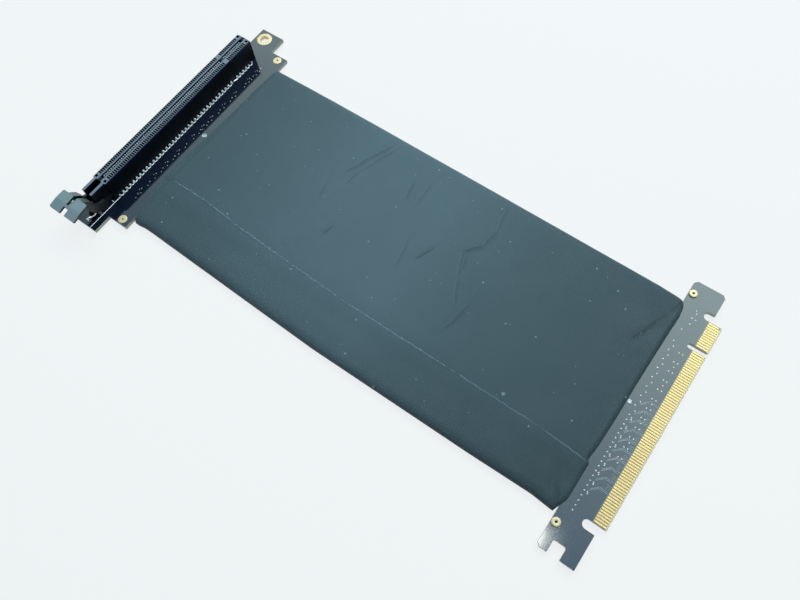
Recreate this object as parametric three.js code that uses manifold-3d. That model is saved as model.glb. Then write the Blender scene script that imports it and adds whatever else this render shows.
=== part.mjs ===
import * as THREE from 'three';
import { mergeVertices } from 'three/addons/utils/BufferGeometryUtils.js';
import Module from 'manifold-3d';

// A cable that carries a card slot from a computer's main board to a card placed elsewhere.
// Millimetres. x runs from the socket end to the plug end, y along both connectors, z up.
// Every dimension is first measured from the middle of the socket. The last step moves the
// origin under the middle of the whole part.

const wasm = await Module();
wasm.setup();
const { Manifold, Mesh } = wasm;

// Sizes shared by both ends
const BOARD_THICKNESS = 1.6;
const BOARD_BOTTOM = 1.5;
const BOARD_TOP = BOARD_BOTTOM + BOARD_THICKNESS;
const CONTACT_PITCH = 1.0;
const SHORT_ROW_CONTACTS = 11;
const LONG_ROW_CONTACTS = 71;
const KEY_CENTRE_GAP = 3.0;
const TONGUE_MARGIN = 0.65;
const KEY_OFFSET = TONGUE_MARGIN + (SHORT_ROW_CONTACTS - 1) * CONTACT_PITCH + KEY_CENTRE_GAP / 2;
const LONG_ROW_LENGTH = (LONG_ROW_CONTACTS - 1) * CONTACT_PITCH;
const TONGUE_LENGTH = KEY_OFFSET + KEY_CENTRE_GAP / 2 + LONG_ROW_LENGTH + TONGUE_MARGIN;

// Socket moulding
const SLOT_END_CLEARANCE = 0.65;
const SLOT_LENGTH = TONGUE_LENGTH + 2 * SLOT_END_CLEARANCE;
const SOCKET_END_WALL = 1.7;
const SOCKET_LENGTH = SLOT_LENGTH + 2 * SOCKET_END_WALL;
const SOCKET_END = SOCKET_LENGTH / 2;
const SOCKET_WIDTH = 7.3;
const SOCKET_HEIGHT = 10.3;
const SOCKET_TOP = BOARD_TOP + SOCKET_HEIGHT;
const SOCKET_EDGE_CHAMFER = 0.3;
const SOCKET_FOOT_HEIGHT = 0.5;
const SOCKET_FOOT_LENGTH = 2.4;
const SLOT_WIDTH = 1.8;
const SLOT_DEPTH = 8;
const KEY_WALL = 1.5;
const WINDOW_WIDTH = 1.3;
const WINDOW_LENGTH = 0.6;
const WINDOW_DEPTH = 1.1;
const WINDOW_OFFSET = 2.5;
const CORNER_WINDOW_LENGTH = 1.1;
const CORNER_WINDOW_FROM_END = 1.05;
const TIP_REACH = 0.4;
const TIP_LENGTH = 0.5;
const TIP_TOP = SOCKET_TOP - 1.4;
const TIP_HEIGHT = 1.3;
const RAIL_INSIDE = 1.6;
const RAIL_OUTSIDE = 2.75;
const RAIL_LENGTH = 7.0;
const CHANNEL_FLOOR = BOARD_TOP + 1.6;
const BOARD_PEG_RADIUS = 1.1;
const BOARD_PEG_OFFSET = SOCKET_END - 7.0;
const BOARD_PEG_TIP = BOARD_BOTTOM - 0.7;

// Latch that holds the card's hook, on a hinge beside the two rails
const HINGE_Y = -SOCKET_END - 5.5;
const HINGE_Z = BOARD_TOP + 2.9;
const HINGE_PEG_RADIUS = 1.1;
const HINGE_PEG_LENGTH = 0.8;
const HINGE_CLEARANCE = 0.08;
const HINGE_END_CLEARANCE = 0.1;
const HINGE_CHEEK_RADIUS = 2.3;
const CHEEK_GAP = 0.15;
const CHEEK_THICKNESS = 1.3;
const LATCH_SLOT = 1.9;
const PAD_OUTER_HALF_WIDTH = 7.0;
const PAD_INNER_HALF_WIDTH = 6.7;
const PAD_GAP = 2.6;
const PAD_THICKNESS = 1.3;
const PAD_INNER_Y = HINGE_Y - 5.9;
const PAD_CREASE_Y = PAD_INNER_Y - 4.3;
const PAD_OUTER_Y = PAD_CREASE_Y - 4.1;
const PAD_TOP = SOCKET_TOP + 2.4;
const PAD_CREASE_DROP = 0.25;
const PAD_END_DROP = 1.2;
const PAD_CORNER = 0.4;
const ARM_SLOPE_DROP = 2.8;
const BAR_LENGTH = 1.1;
const NOSE_REACH = 1.0;
const NOSE_HEIGHT = 2.2;
const RISER_GAP = 3.0;

// Socket board
const SOCKET_BOARD_LEFT = -4.5;
const TAB_RIGHT = 7.4;
const SOCKET_BOARD_RIGHT = 16.7;
const TAB_TOP = SOCKET_END + 15.1;
const TAB_BOTTOM = -SOCKET_END - 16.0;
const WIDE_TOP = SOCKET_END + 6.6;
const WIDE_BOTTOM = -SOCKET_END - 7.8;
const SOLDER_OFFSET = 3.45;
const SOLDER_LENGTH = 1.5;
const SOLDER_WIDTH = 0.9;
const SOLDER_HEIGHT = 0.3;

// Metal rings set in the boards
const MOUNTING_HOLE_Y = TAB_TOP - 4.5;
const MOUNTING_RING_RADIUS = 3.5;
const MOUNTING_BARREL_RADIUS = 2.25;
const MOUNTING_HOLE_RADIUS = 2.0;
const MOUNTING_RING_HEIGHT = 0.15;
const SOCKET_EYELET_X = SOCKET_BOARD_RIGHT - 3.65;
const SOCKET_EYELET_TOP_Y = WIDE_TOP - 2.4;
const SOCKET_EYELET_BOTTOM_Y = WIDE_BOTTOM + 2.2;
const SOCKET_EYELET_RADIUS = 1.9;
const MIDDLE_EYELET_Y = -0.55;
const MIDDLE_EYELET_RADIUS = 1.15;
const EYELET_HOLE_RADIUS = 0.55;
const EYELET_BARREL_RADIUS = 0.75;
const FLAT_EYELET_HEIGHT = 0.12;
const PLUG_EYELET_RADIUS = 1.65;
const PLUG_EYELET_HEIGHT = 0.6;
const PLUG_EYELET_INSET = 1.7;
const PLUG_EYELET_OFFSET = TONGUE_LENGTH / 2 + 6.9;
const PLUG_MIDDLE_EYELET_RADIUS = 0.85;
const PLUG_MIDDLE_EYELET_INSET = 1.95;
const FIT_GAP = 0.03;

// Plug board
const PLUG_EDGE_X = 229.6;
const PLUG_CENTRE_Y = -2.1;
const PLUG_DEPTH = 16.35;
const PLUG_LEFT = PLUG_EDGE_X - PLUG_DEPTH;
const PLUG_KEY_WIDTH = 1.9;
const PLUG_KEY_DEPTH = 7.55;
const END_SLOT_WIDTH = 3.4;
const END_SLOT_DEPTH = 7.8;
const PLUG_TAB_LENGTH = 9.05;
const PLUG_TAB_INSET = 4.25;
const HOOK_LENGTH = 13.0;
const HOOK_INSET = 2.55;
const HOOK_NOTCH_START = 7.8;
const HOOK_NOTCH_END = 12.5;
const HOOK_NOTCH_DEPTH = 4.6;
const HOOK_NOTCH_ROUNDING = 0.7;
const PLUG_CORNER = 1.15;
const PLUG_EDGE_BEVEL = 0.35;
const PLUG_EDGE_BEVEL_LENGTH = 0.55;
const FINGER_END = 5.0;
const FINGER_WIDTH = 0.7;
const FINGER_RELIEF = 0.06;
const FIRST_FINGER_CUT = 1.3;

// Flat cables, tapes and the cloth sleeve round them
const SOLDER_SHELF_TOP = SOCKET_END - 5.5;
const SOLDER_SHELF_BOTTOM = -SOCKET_END + 13.5;
const SOLDER_SHELF_LENGTH = 7.5;
const RIBBONS_PER_SIDE = 4;
const RIBBON_PITCH = (SOLDER_SHELF_TOP - SOLDER_SHELF_BOTTOM) / RIBBONS_PER_SIDE;
const RIBBON_GAP = 0.5;
const RIBBON_WIDTH = RIBBON_PITCH - RIBBON_GAP;
const RIBBON_THICKNESS = 0.8;
const RIBBON_WIRES = 5;
const RIBBON_END_MARGIN = 0.9;
const TAPE_THICKNESS = 0.15;
const TAPE_LENGTH = 11;
const CLOTH_THICKNESS = 0.4;
const CLOTH_CLEARANCE = 0.1;
const SLEEVE_TOP_Y = SOCKET_END - 0.1;
const SLEEVE_BOTTOM_Y = -SOCKET_END - 4.7;
const SLEEVE_SOCKET_X = SOCKET_BOARD_RIGHT - 1.7;
const SLEEVE_PLUG_X = PLUG_LEFT + 1.25;
const SLEEVE_LIP = 1.9;
const SLEEVE_EDGE_ROUNDING = 1.7;
const SEAM_Y = SOLDER_SHELF_BOTTOM + 3;
const SEAM_SHIFT = 1.8;
const SEAM_STEP = 0.25;

// Colours as the photograph shows them
const MOULDING_COLOUR = 0x14181f;
const LATCH_COLOUR = 0x2a3136;
const SOLDER_MASK_COLOUR = 0x10161c;
const GOLD_COLOUR = 0xd9c078;
const TIN_COLOUR = 0xb9bcc0;
const CLOTH_COLOUR = 0x2b353b;
const RIBBON_COLOUR = 0x3a4046;
const TAPE_COLOUR = 0x17191c;

function solidOf(geometry) {
  const bare = new THREE.BufferGeometry();
  bare.setAttribute('position', geometry.getAttribute('position'));
  bare.setIndex(geometry.index);
  const welded = mergeVertices(bare, 1e-4);
  return new Manifold(new Mesh({
    numProp: 3,
    vertProperties: new Float32Array(welded.getAttribute('position').array),
    triVerts: new Uint32Array(welded.index.array),
  }));
}

function geometryOf(solid) {
  const mesh = solid.getMesh();
  const geometry = new THREE.BufferGeometry();
  geometry.setAttribute('position', new THREE.BufferAttribute(mesh.vertProperties, 3));
  geometry.setIndex(new THREE.BufferAttribute(mesh.triVerts, 1));
  return geometry;
}

function box(x0, x1, y0, y1, z0, z1) {
  const geometry = new THREE.BoxGeometry(x1 - x0, y1 - y0, z1 - z0);
  geometry.translate((x0 + x1) / 2, (y0 + y1) / 2, (z0 + z1) / 2);
  return solidOf(geometry);
}

function extrusion(points, depth) {
  const shape = new THREE.Shape(points.map(([u, v]) => new THREE.Vector2(u, v)));
  return new THREE.ExtrudeGeometry(shape, { depth, bevelEnabled: false });
}

// An outline drawn from above, given as [x, y] points
function plate(points, z0, z1) {
  const geometry = extrusion(points, z1 - z0);
  geometry.translate(0, 0, z0);
  return solidOf(geometry);
}

// An outline drawn from the side, given as [y, z] points
function sideSection(points, x0, x1) {
  const geometry = extrusion(points, x1 - x0);
  const axes = [new THREE.Vector3(0, 1, 0), new THREE.Vector3(0, 0, 1), new THREE.Vector3(1, 0, 0)];
  geometry.applyMatrix4(new THREE.Matrix4().makeBasis(...axes));
  geometry.translate(x0, 0, 0);
  return solidOf(geometry);
}

// An outline drawn along the cable, given as [x, z] points
function lengthSection(points, y0, y1) {
  const geometry = extrusion(points, y1 - y0);
  const axes = [new THREE.Vector3(1, 0, 0), new THREE.Vector3(0, 0, 1), new THREE.Vector3(0, -1, 0)];
  geometry.applyMatrix4(new THREE.Matrix4().makeBasis(...axes));
  geometry.translate(0, y1, 0);
  return solidOf(geometry);
}

function post(x, y, radius, z0, z1, sides = 24) {
  const geometry = new THREE.CylinderGeometry(radius, radius, z1 - z0, sides);
  geometry.rotateX(Math.PI / 2);
  geometry.translate(x, y, (z0 + z1) / 2);
  return solidOf(geometry);
}

function crossPost(y, z, radius, x0, x1, sides = 24) {
  const geometry = new THREE.CylinderGeometry(radius, radius, x1 - x0, sides);
  geometry.rotateZ(Math.PI / 2);
  geometry.translate((x0 + x1) / 2, y, z);
  return solidOf(geometry);
}

// A ring turned from a closed outline of [radius, z] points
function turned(points, x, y, sides = 20) {
  const closed = [...points, points[0]].map(([r, z]) => new THREE.Vector2(r, z));
  const geometry = new THREE.LatheGeometry(closed, sides);
  geometry.rotateX(Math.PI / 2);
  geometry.translate(x, y, 0);
  return solidOf(geometry);
}

function arc(x, y, radius, from, to, steps = 6) {
  const points = [];
  for (let step = 0; step <= steps; step += 1) {
    const angle = from + ((to - from) * step) / steps;
    points.push([x + radius * Math.cos(angle), y + radius * Math.sin(angle)]);
  }
  return points;
}

// Both signs of x, for features that the socket has on each side
function bothSides(make) {
  return Manifold.union([make(1), make(-1)]);
}

// Distances of the contacts from the end of the tongue
function contactOffsets() {
  const offsets = [];
  for (let index = 0; index < SHORT_ROW_CONTACTS; index += 1) {
    offsets.push(TONGUE_MARGIN + index * CONTACT_PITCH);
  }
  const longStart = offsets[SHORT_ROW_CONTACTS - 1] + KEY_CENTRE_GAP;
  for (let index = 0; index < LONG_ROW_CONTACTS; index += 1) {
    offsets.push(longStart + index * CONTACT_PITCH);
  }
  return offsets;
}

function sideBox(side, near, far, y0, y1, z0, z1) {
  const low = Math.min(side * near, side * far);
  const high = Math.max(side * near, side * far);
  return box(low, high, y0, y1, z0, z1);
}

const contacts = contactOffsets();
const socketContactY = contacts.map((offset) => TONGUE_LENGTH / 2 - offset);
const keyY = TONGUE_LENGTH / 2 - KEY_OFFSET;

function socketBlock() {
  const half = SOCKET_WIDTH / 2;
  const low = BOARD_TOP + SOCKET_FOOT_HEIGHT;
  const shoulder = SOCKET_TOP - SOCKET_EDGE_CHAMFER;
  const shape = new THREE.Shape([
    new THREE.Vector2(-half, low),
    new THREE.Vector2(half, low),
    new THREE.Vector2(half, shoulder),
    new THREE.Vector2(half - SOCKET_EDGE_CHAMFER, SOCKET_TOP),
    new THREE.Vector2(-half + SOCKET_EDGE_CHAMFER, SOCKET_TOP),
    new THREE.Vector2(-half, shoulder),
  ]);
  const geometry = new THREE.ExtrudeGeometry(shape, { depth: SOCKET_LENGTH, bevelEnabled: false });
  geometry.rotateX(Math.PI / 2);
  geometry.translate(0, SOCKET_END, 0);
  return solidOf(geometry);
}

function socketFeet() {
  const half = SOCKET_WIDTH / 2;
  const top = BOARD_TOP + SOCKET_FOOT_HEIGHT + 0.2;
  const end = SOCKET_END;
  return [
    box(-half, half, end - SOCKET_FOOT_LENGTH, end, BOARD_TOP, top),
    box(-half, half, keyY - KEY_WALL / 2, keyY + KEY_WALL / 2, BOARD_TOP, top),
    box(-half, half, -end, -end + SOCKET_FOOT_LENGTH, BOARD_TOP, top),
  ];
}

function contactWindows() {
  const near = WINDOW_OFFSET - WINDOW_WIDTH / 2;
  const far = WINDOW_OFFSET + WINDOW_WIDTH / 2;
  const floor = SOCKET_TOP - WINDOW_DEPTH;
  const cuts = [];
  for (const side of [1, -1]) {
    for (const y of socketContactY) {
      const low = y - WINDOW_LENGTH / 2;
      const high = y + WINDOW_LENGTH / 2;
      cuts.push(sideBox(side, near, far, low, high, floor, SOCKET_TOP + 1));
    }
    for (const end of [1, -1]) {
      const middle = end * (SOCKET_END - CORNER_WINDOW_FROM_END);
      const low = middle - CORNER_WINDOW_LENGTH / 2;
      const high = middle + CORNER_WINDOW_LENGTH / 2;
      cuts.push(sideBox(side, near, far, low, high, floor - 1, SOCKET_TOP + 1));
    }
  }
  return cuts;
}

function contactTips() {
  const wall = SLOT_WIDTH / 2;
  const tips = [];
  for (const side of [1, -1]) {
    for (const y of socketContactY) {
      const low = y - TIP_LENGTH / 2;
      const high = y + TIP_LENGTH / 2;
      const near = wall - TIP_REACH;
      tips.push(sideBox(side, near, wall + 0.2, low, high, TIP_TOP - TIP_HEIGHT, TIP_TOP));
    }
  }
  return tips;
}

function latchRails() {
  const end = -SOCKET_END;
  const outer = end - RAIL_LENGTH;
  const rails = bothSides((side) => {
    return sideBox(side, RAIL_INSIDE, RAIL_OUTSIDE, outer, end + 0.5, BOARD_TOP, SOCKET_TOP);
  });
  const floor = box(-RAIL_OUTSIDE, RAIL_OUTSIDE, outer, end + 0.5, BOARD_TOP, CHANNEL_FLOOR);
  const reach = RAIL_OUTSIDE + HINGE_PEG_LENGTH;
  const pegs = bothSides((side) => {
    const from = side > 0 ? RAIL_OUTSIDE - 0.3 : -reach;
    const to = side > 0 ? reach : -RAIL_OUTSIDE + 0.3;
    return crossPost(HINGE_Y, HINGE_Z, HINGE_PEG_RADIUS, from, to);
  });
  return [rails, floor, pegs];
}

function makeSocketHousing() {
  const slotEnd = SLOT_LENGTH / 2;
  const slotHalf = SLOT_WIDTH / 2;
  const floor = SOCKET_TOP - SLOT_DEPTH;
  const keyTop = keyY + KEY_WALL / 2;
  const keyLow = keyY - KEY_WALL / 2;
  const shortSlot = box(-slotHalf, slotHalf, keyTop, slotEnd, floor, SOCKET_TOP + 1);
  const longSlot = box(-slotHalf, slotHalf, -slotEnd, keyLow, floor, SOCKET_TOP + 1);
  const pegs = [BOARD_PEG_OFFSET, -BOARD_PEG_OFFSET].map((y) => {
    return post(0, y, BOARD_PEG_RADIUS, BOARD_PEG_TIP, BOARD_TOP + SOCKET_FOOT_HEIGHT + 0.2);
  });
  const body = Manifold.union([socketBlock(), ...socketFeet(), ...latchRails(), ...pegs]);
  const cut = Manifold.union([shortSlot, longSlot, ...contactWindows()]);
  return Manifold.union([body.subtract(cut), ...contactTips()]);
}

// The side view of the latch: hinge cheek, riser and one sloping pad
function latchCheekSection() {
  const around = arc(HINGE_Y, HINGE_Z, HINGE_CHEEK_RADIUS, -Math.PI / 2, Math.PI / 2 + 0.2, 12);
  return [
    ...around,
    [HINGE_Y - 2.4, HINGE_Z + 3.0],
    [HINGE_Y - 3.6, PAD_TOP - ARM_SLOPE_DROP],
    [PAD_INNER_Y, PAD_TOP - 0.1],
    [PAD_INNER_Y - 1.4, PAD_TOP - 0.6],
    [HINGE_Y - 6.6, HINGE_Z + 5.0],
    [HINGE_Y - 5.4, HINGE_Z + 1.0],
    [HINGE_Y - 3.4, HINGE_Z - 0.9],
    [HINGE_Y - 1.3, HINGE_Z - 1.95],
  ];
}

function latchPadSection() {
  const creaseTop = PAD_TOP - PAD_CREASE_DROP;
  const endTop = PAD_TOP - PAD_END_DROP;
  return [
    [PAD_INNER_Y, PAD_TOP],
    [PAD_CREASE_Y, creaseTop],
    [PAD_OUTER_Y, endTop],
    [PAD_OUTER_Y, endTop - PAD_THICKNESS * 0.7],
    [PAD_CREASE_Y, creaseTop - PAD_THICKNESS],
    [PAD_INNER_Y, PAD_TOP - PAD_THICKNESS],
  ].reverse();
}

function latchPadOutline() {
  const outer = PAD_OUTER_HALF_WIDTH;
  const inner = PAD_INNER_HALF_WIDTH;
  return [
    [0, PAD_INNER_Y],
    [inner - PAD_CORNER, PAD_INNER_Y],
    [inner, PAD_INNER_Y - PAD_CORNER],
    [outer, PAD_OUTER_Y + PAD_CORNER],
    [outer - PAD_CORNER, PAD_OUTER_Y],
    [PAD_GAP / 2, PAD_OUTER_Y],
    [PAD_GAP / 2, PAD_CREASE_Y - BAR_LENGTH],
    [0, PAD_CREASE_Y - BAR_LENGTH],
  ];
}

// The nose under the crossbar enters the notch in a card's hook when the latch is closed.
function latchNose() {
  const top = PAD_TOP - PAD_CREASE_DROP - PAD_THICKNESS * 0.5;
  const bottom = PAD_TOP - PAD_CREASE_DROP - PAD_THICKNESS - NOSE_HEIGHT;
  return sideSection([
    [PAD_CREASE_Y - BAR_LENGTH, top],
    [PAD_CREASE_Y - BAR_LENGTH, bottom + 1.0],
    [PAD_CREASE_Y, bottom],
    [PAD_CREASE_Y + NOSE_REACH, bottom],
    [PAD_CREASE_Y + NOSE_REACH, bottom + 1.2],
    [PAD_CREASE_Y, top],
  ], -PAD_GAP / 2 - 0.3, PAD_GAP / 2 + 0.3);
}

function makeSlotLatch() {
  const cheekInside = RAIL_OUTSIDE + CHEEK_GAP;
  const cheekOutside = cheekInside + CHEEK_THICKNESS;
  const mirrored = latchPadOutline().map(([x, y]) => [-x, y]).reverse();
  const pads = Manifold.union([
    plate(latchPadOutline().reverse(), PAD_TOP - 5, PAD_TOP + 1),
    plate(mirrored.reverse(), PAD_TOP - 5, PAD_TOP + 1),
  ]).intersect(sideSection(latchPadSection(), -PAD_OUTER_HALF_WIDTH - 1, PAD_OUTER_HALF_WIDTH + 1));
  const riser = sideSection(latchCheekSection(), -cheekOutside, cheekOutside);
  const railRoom = box(
    -cheekInside, cheekInside,
    HINGE_Y - RISER_GAP, HINGE_Y + 4,
    BOARD_TOP - 1, SOCKET_TOP + 4,
  );
  const lowRoom = box(
    -cheekInside, cheekInside,
    HINGE_Y - 9, HINGE_Y + 4,
    BOARD_TOP - 1, HINGE_Z + 0.6,
  );
  const hookRoom = box(
    -LATCH_SLOT / 2, LATCH_SLOT / 2,
    PAD_CREASE_Y, HINGE_Y + 4,
    HINGE_Z + 1.9, SOCKET_TOP + 4,
  );
  const boreEnd = RAIL_OUTSIDE + HINGE_PEG_LENGTH + HINGE_END_CLEARANCE;
  const bore = crossPost(
    HINGE_Y, HINGE_Z, HINGE_PEG_RADIUS + HINGE_CLEARANCE, -boreEnd, boreEnd,
  );
  const cut = Manifold.union([railRoom, lowRoom, hookRoom, bore]);
  return Manifold.union([Manifold.union([pads, riser]).subtract(cut), latchNose()]);
}

function makeSocketBoard() {
  const outline = [
    [SOCKET_BOARD_LEFT, TAB_BOTTOM],
    [TAB_RIGHT, TAB_BOTTOM],
    [TAB_RIGHT, WIDE_BOTTOM],
    [SOCKET_BOARD_RIGHT, WIDE_BOTTOM],
    [SOCKET_BOARD_RIGHT, SOLDER_SHELF_BOTTOM],
    [SOCKET_BOARD_RIGHT + SOLDER_SHELF_LENGTH, SOLDER_SHELF_BOTTOM],
    [SOCKET_BOARD_RIGHT + SOLDER_SHELF_LENGTH, SOLDER_SHELF_TOP],
    [SOCKET_BOARD_RIGHT, SOLDER_SHELF_TOP],
    [SOCKET_BOARD_RIGHT, WIDE_TOP],
    [TAB_RIGHT, WIDE_TOP],
    [TAB_RIGHT, TAB_TOP],
    [SOCKET_BOARD_LEFT, TAB_TOP],
  ];
  const below = BOARD_BOTTOM - 1;
  const above = BOARD_TOP + 1;
  const eyeletHole = EYELET_BARREL_RADIUS + FIT_GAP;
  const holes = [
    post(0, MOUNTING_HOLE_Y, MOUNTING_BARREL_RADIUS + FIT_GAP, below, above, 32),
    post(0, BOARD_PEG_OFFSET, BOARD_PEG_RADIUS + FIT_GAP, below, above),
    post(0, -BOARD_PEG_OFFSET, BOARD_PEG_RADIUS + FIT_GAP, below, above),
    post(SOCKET_EYELET_X, SOCKET_EYELET_TOP_Y, eyeletHole, below, above),
    post(SOCKET_EYELET_X, SOCKET_EYELET_BOTTOM_Y, eyeletHole, below, above),
    post(SOCKET_EYELET_X, MIDDLE_EYELET_Y, eyeletHole, below, above),
  ];
  const board = plate(outline, BOARD_BOTTOM, BOARD_TOP).subtract(Manifold.union(holes));
  return Manifold.union([board, ...solderJoints()]);
}

// Every second contact of a row is soldered in the outer line, so the joints sit 2 mm apart.
function solderJoints() {
  const joints = [];
  socketContactY.forEach((y, index) => {
    const side = index % 2 === 0 ? 1 : -1;
    const near = SOLDER_OFFSET - SOLDER_LENGTH / 2;
    const far = SOLDER_OFFSET + SOLDER_LENGTH / 2;
    const low = y - SOLDER_WIDTH / 2;
    const high = y + SOLDER_WIDTH / 2;
    const clear = Math.abs(y - keyY) > KEY_WALL / 2 + SOLDER_WIDTH / 2 + 0.1;
    const inside = Math.abs(y) < SOCKET_END - SOCKET_FOOT_LENGTH - SOLDER_WIDTH / 2 - 0.1;
    if (clear && inside) {
      joints.push(sideBox(side, near, far, low, high, BOARD_TOP - 0.2, BOARD_TOP + SOLDER_HEIGHT));
    }
  });
  return joints;
}

// A ring with a flange on each face of the board and a barrel through its hole
function boardRing(x, y, flange, barrel, hole, height) {
  return turned([
    [hole, BOARD_BOTTOM - FLAT_EYELET_HEIGHT],
    [flange, BOARD_BOTTOM - FLAT_EYELET_HEIGHT],
    [flange, BOARD_BOTTOM],
    [barrel, BOARD_BOTTOM],
    [barrel, BOARD_TOP],
    [flange, BOARD_TOP],
    [flange, BOARD_TOP + height],
    [hole, BOARD_TOP + height],
  ], x, y);
}

function eyelet(x, y, flange, height) {
  return boardRing(x, y, flange, EYELET_BARREL_RADIUS, EYELET_HOLE_RADIUS, height);
}

function plugY(offset) {
  return PLUG_CENTRE_Y + TONGUE_LENGTH / 2 - offset;
}

function plugX(inset) {
  return PLUG_EDGE_X - inset;
}

// One U-shaped recess open toward the contact edge, between two distances along the tongue
function recess(from, to, depth) {
  const radius = (to - from) / 2;
  const centreX = plugX(depth - radius);
  const centreY = plugY((from + to) / 2);
  const round = arc(centreX, centreY, radius, Math.PI / 2, (3 * Math.PI) / 2, 10);
  return [...round, [PLUG_EDGE_X + 1, plugY(to)], [PLUG_EDGE_X + 1, plugY(from)]];
}

function makePlugBoard() {
  const tabEnd = -END_SLOT_WIDTH - PLUG_TAB_LENGTH;
  const hookStart = TONGUE_LENGTH + END_SLOT_WIDTH;
  const hookEnd = hookStart + HOOK_LENGTH;
  const outline = [
    [PLUG_LEFT, plugY(hookEnd) + PLUG_CORNER],
    [PLUG_LEFT + PLUG_CORNER, plugY(hookEnd)],
    [plugX(HOOK_NOTCH_END), plugY(hookEnd)],
    ...arc(
      plugX(HOOK_NOTCH_END) + HOOK_NOTCH_ROUNDING, plugY(hookEnd - HOOK_NOTCH_DEPTH) - HOOK_NOTCH_ROUNDING,
      HOOK_NOTCH_ROUNDING, Math.PI, Math.PI / 2, 4,
    ),
    ...arc(
      plugX(HOOK_NOTCH_START) - HOOK_NOTCH_ROUNDING, plugY(hookEnd - HOOK_NOTCH_DEPTH) - HOOK_NOTCH_ROUNDING,
      HOOK_NOTCH_ROUNDING, Math.PI / 2, 0, 4,
    ),
    [plugX(HOOK_NOTCH_START), plugY(hookEnd)],
    [plugX(HOOK_INSET), plugY(hookEnd)],
    [plugX(HOOK_INSET), plugY(TONGUE_LENGTH + END_SLOT_WIDTH / 2)],
    [PLUG_EDGE_X, plugY(TONGUE_LENGTH + END_SLOT_WIDTH / 2)],
    [PLUG_EDGE_X, plugY(-END_SLOT_WIDTH / 2)],
    [plugX(PLUG_TAB_INSET), plugY(-END_SLOT_WIDTH / 2)],
    [plugX(PLUG_TAB_INSET), plugY(tabEnd) - PLUG_CORNER],
    [plugX(PLUG_TAB_INSET) - PLUG_CORNER, plugY(tabEnd)],
    [PLUG_LEFT + PLUG_CORNER, plugY(tabEnd)],
    [PLUG_LEFT, plugY(tabEnd) - PLUG_CORNER],
    [PLUG_LEFT, SOLDER_SHELF_TOP],
    [PLUG_LEFT - SOLDER_SHELF_LENGTH, SOLDER_SHELF_TOP],
    [PLUG_LEFT - SOLDER_SHELF_LENGTH, SOLDER_SHELF_BOTTOM],
    [PLUG_LEFT, SOLDER_SHELF_BOTTOM],
  ];
  const bevelled = lengthSection([
    [PLUG_LEFT - SOLDER_SHELF_LENGTH - 1, BOARD_BOTTOM],
    [plugX(PLUG_EDGE_BEVEL_LENGTH), BOARD_BOTTOM],
    [PLUG_EDGE_X, BOARD_BOTTOM + PLUG_EDGE_BEVEL],
    [PLUG_EDGE_X, BOARD_TOP - PLUG_EDGE_BEVEL],
    [plugX(PLUG_EDGE_BEVEL_LENGTH), BOARD_TOP],
    [PLUG_LEFT - SOLDER_SHELF_LENGTH - 1, BOARD_TOP],
  ], plugY(hookEnd) - 1, plugY(tabEnd) + 1);
  const low = BOARD_BOTTOM - 1;
  const high = BOARD_TOP + 1;
  const eyeletHole = EYELET_BARREL_RADIUS + FIT_GAP;
  const eyeletX = PLUG_LEFT + PLUG_EYELET_INSET;
  const keyStart = KEY_OFFSET - PLUG_KEY_WIDTH / 2;
  const cuts = [
    plate(recess(-END_SLOT_WIDTH, 0, END_SLOT_DEPTH), low, high),
    plate(recess(TONGUE_LENGTH, hookStart, END_SLOT_DEPTH), low, high),
    plate(recess(keyStart, keyStart + PLUG_KEY_WIDTH, PLUG_KEY_DEPTH), low, high),
    post(eyeletX, plugEyeletTopY(), eyeletHole, low, high),
    post(eyeletX, plugEyeletBottomY(), eyeletHole, low, high),
    post(PLUG_LEFT + PLUG_MIDDLE_EYELET_INSET, PLUG_CENTRE_Y, eyeletHole, low, high),
  ];
  const board = plate(outline, BOARD_BOTTOM, BOARD_TOP).intersect(bevelled);
  return Manifold.union([board.subtract(Manifold.union(cuts)), ...contactFingers()]);
}

// Fingers stand a little above each face of the tongue. The first one starts further in.
function contactFingers() {
  const fingers = [];
  contacts.forEach((offset, index) => {
    const start = index === 0 ? FIRST_FINGER_CUT : PLUG_EDGE_BEVEL_LENGTH + 0.05;
    const low = plugY(offset) - FINGER_WIDTH / 2;
    const high = plugY(offset) + FINGER_WIDTH / 2;
    const from = plugX(FINGER_END);
    const to = plugX(start);
    fingers.push(box(from, to, low, high, BOARD_TOP - 0.1, BOARD_TOP + FINGER_RELIEF));
    fingers.push(box(from, to, low, high, BOARD_BOTTOM - FINGER_RELIEF, BOARD_BOTTOM + 0.1));
  });
  return fingers;
}

function plugEyeletTopY() {
  return PLUG_CENTRE_Y + PLUG_EYELET_OFFSET;
}

function plugEyeletBottomY() {
  return PLUG_CENTRE_Y - PLUG_EYELET_OFFSET;
}

// A flat cable with a round ridge over each wire
function ribbonSection(y0, z0) {
  const lobe = RIBBON_WIDTH / RIBBON_WIRES;
  const valley = RIBBON_THICKNESS * 0.3;
  const top = [];
  const bottom = [];
  for (let wire = 0; wire < RIBBON_WIRES; wire += 1) {
    const start = y0 + wire * lobe;
    top.push([start + lobe * 0.06, z0 + RIBBON_THICKNESS - valley]);
    top.push([start + lobe * 0.3, z0 + RIBBON_THICKNESS]);
    top.push([start + lobe * 0.7, z0 + RIBBON_THICKNESS]);
    top.push([start + lobe * 0.94, z0 + RIBBON_THICKNESS - valley]);
    bottom.push([start + lobe * 0.06, z0 + valley]);
    bottom.push([start + lobe * 0.3, z0]);
    bottom.push([start + lobe * 0.7, z0]);
    bottom.push([start + lobe * 0.94, z0 + valley]);
  }
  return [...bottom, ...top.reverse()];
}

const ribbonStartX = SOCKET_BOARD_RIGHT + RIBBON_END_MARGIN;
const ribbonEndX = PLUG_LEFT - RIBBON_END_MARGIN;

function makeRibbon(index, z0) {
  const y0 = SOLDER_SHELF_BOTTOM + RIBBON_PITCH * (index + 0.5) - RIBBON_WIDTH / 2;
  return sideSection(ribbonSection(y0, z0), ribbonStartX, ribbonEndX);
}

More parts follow.
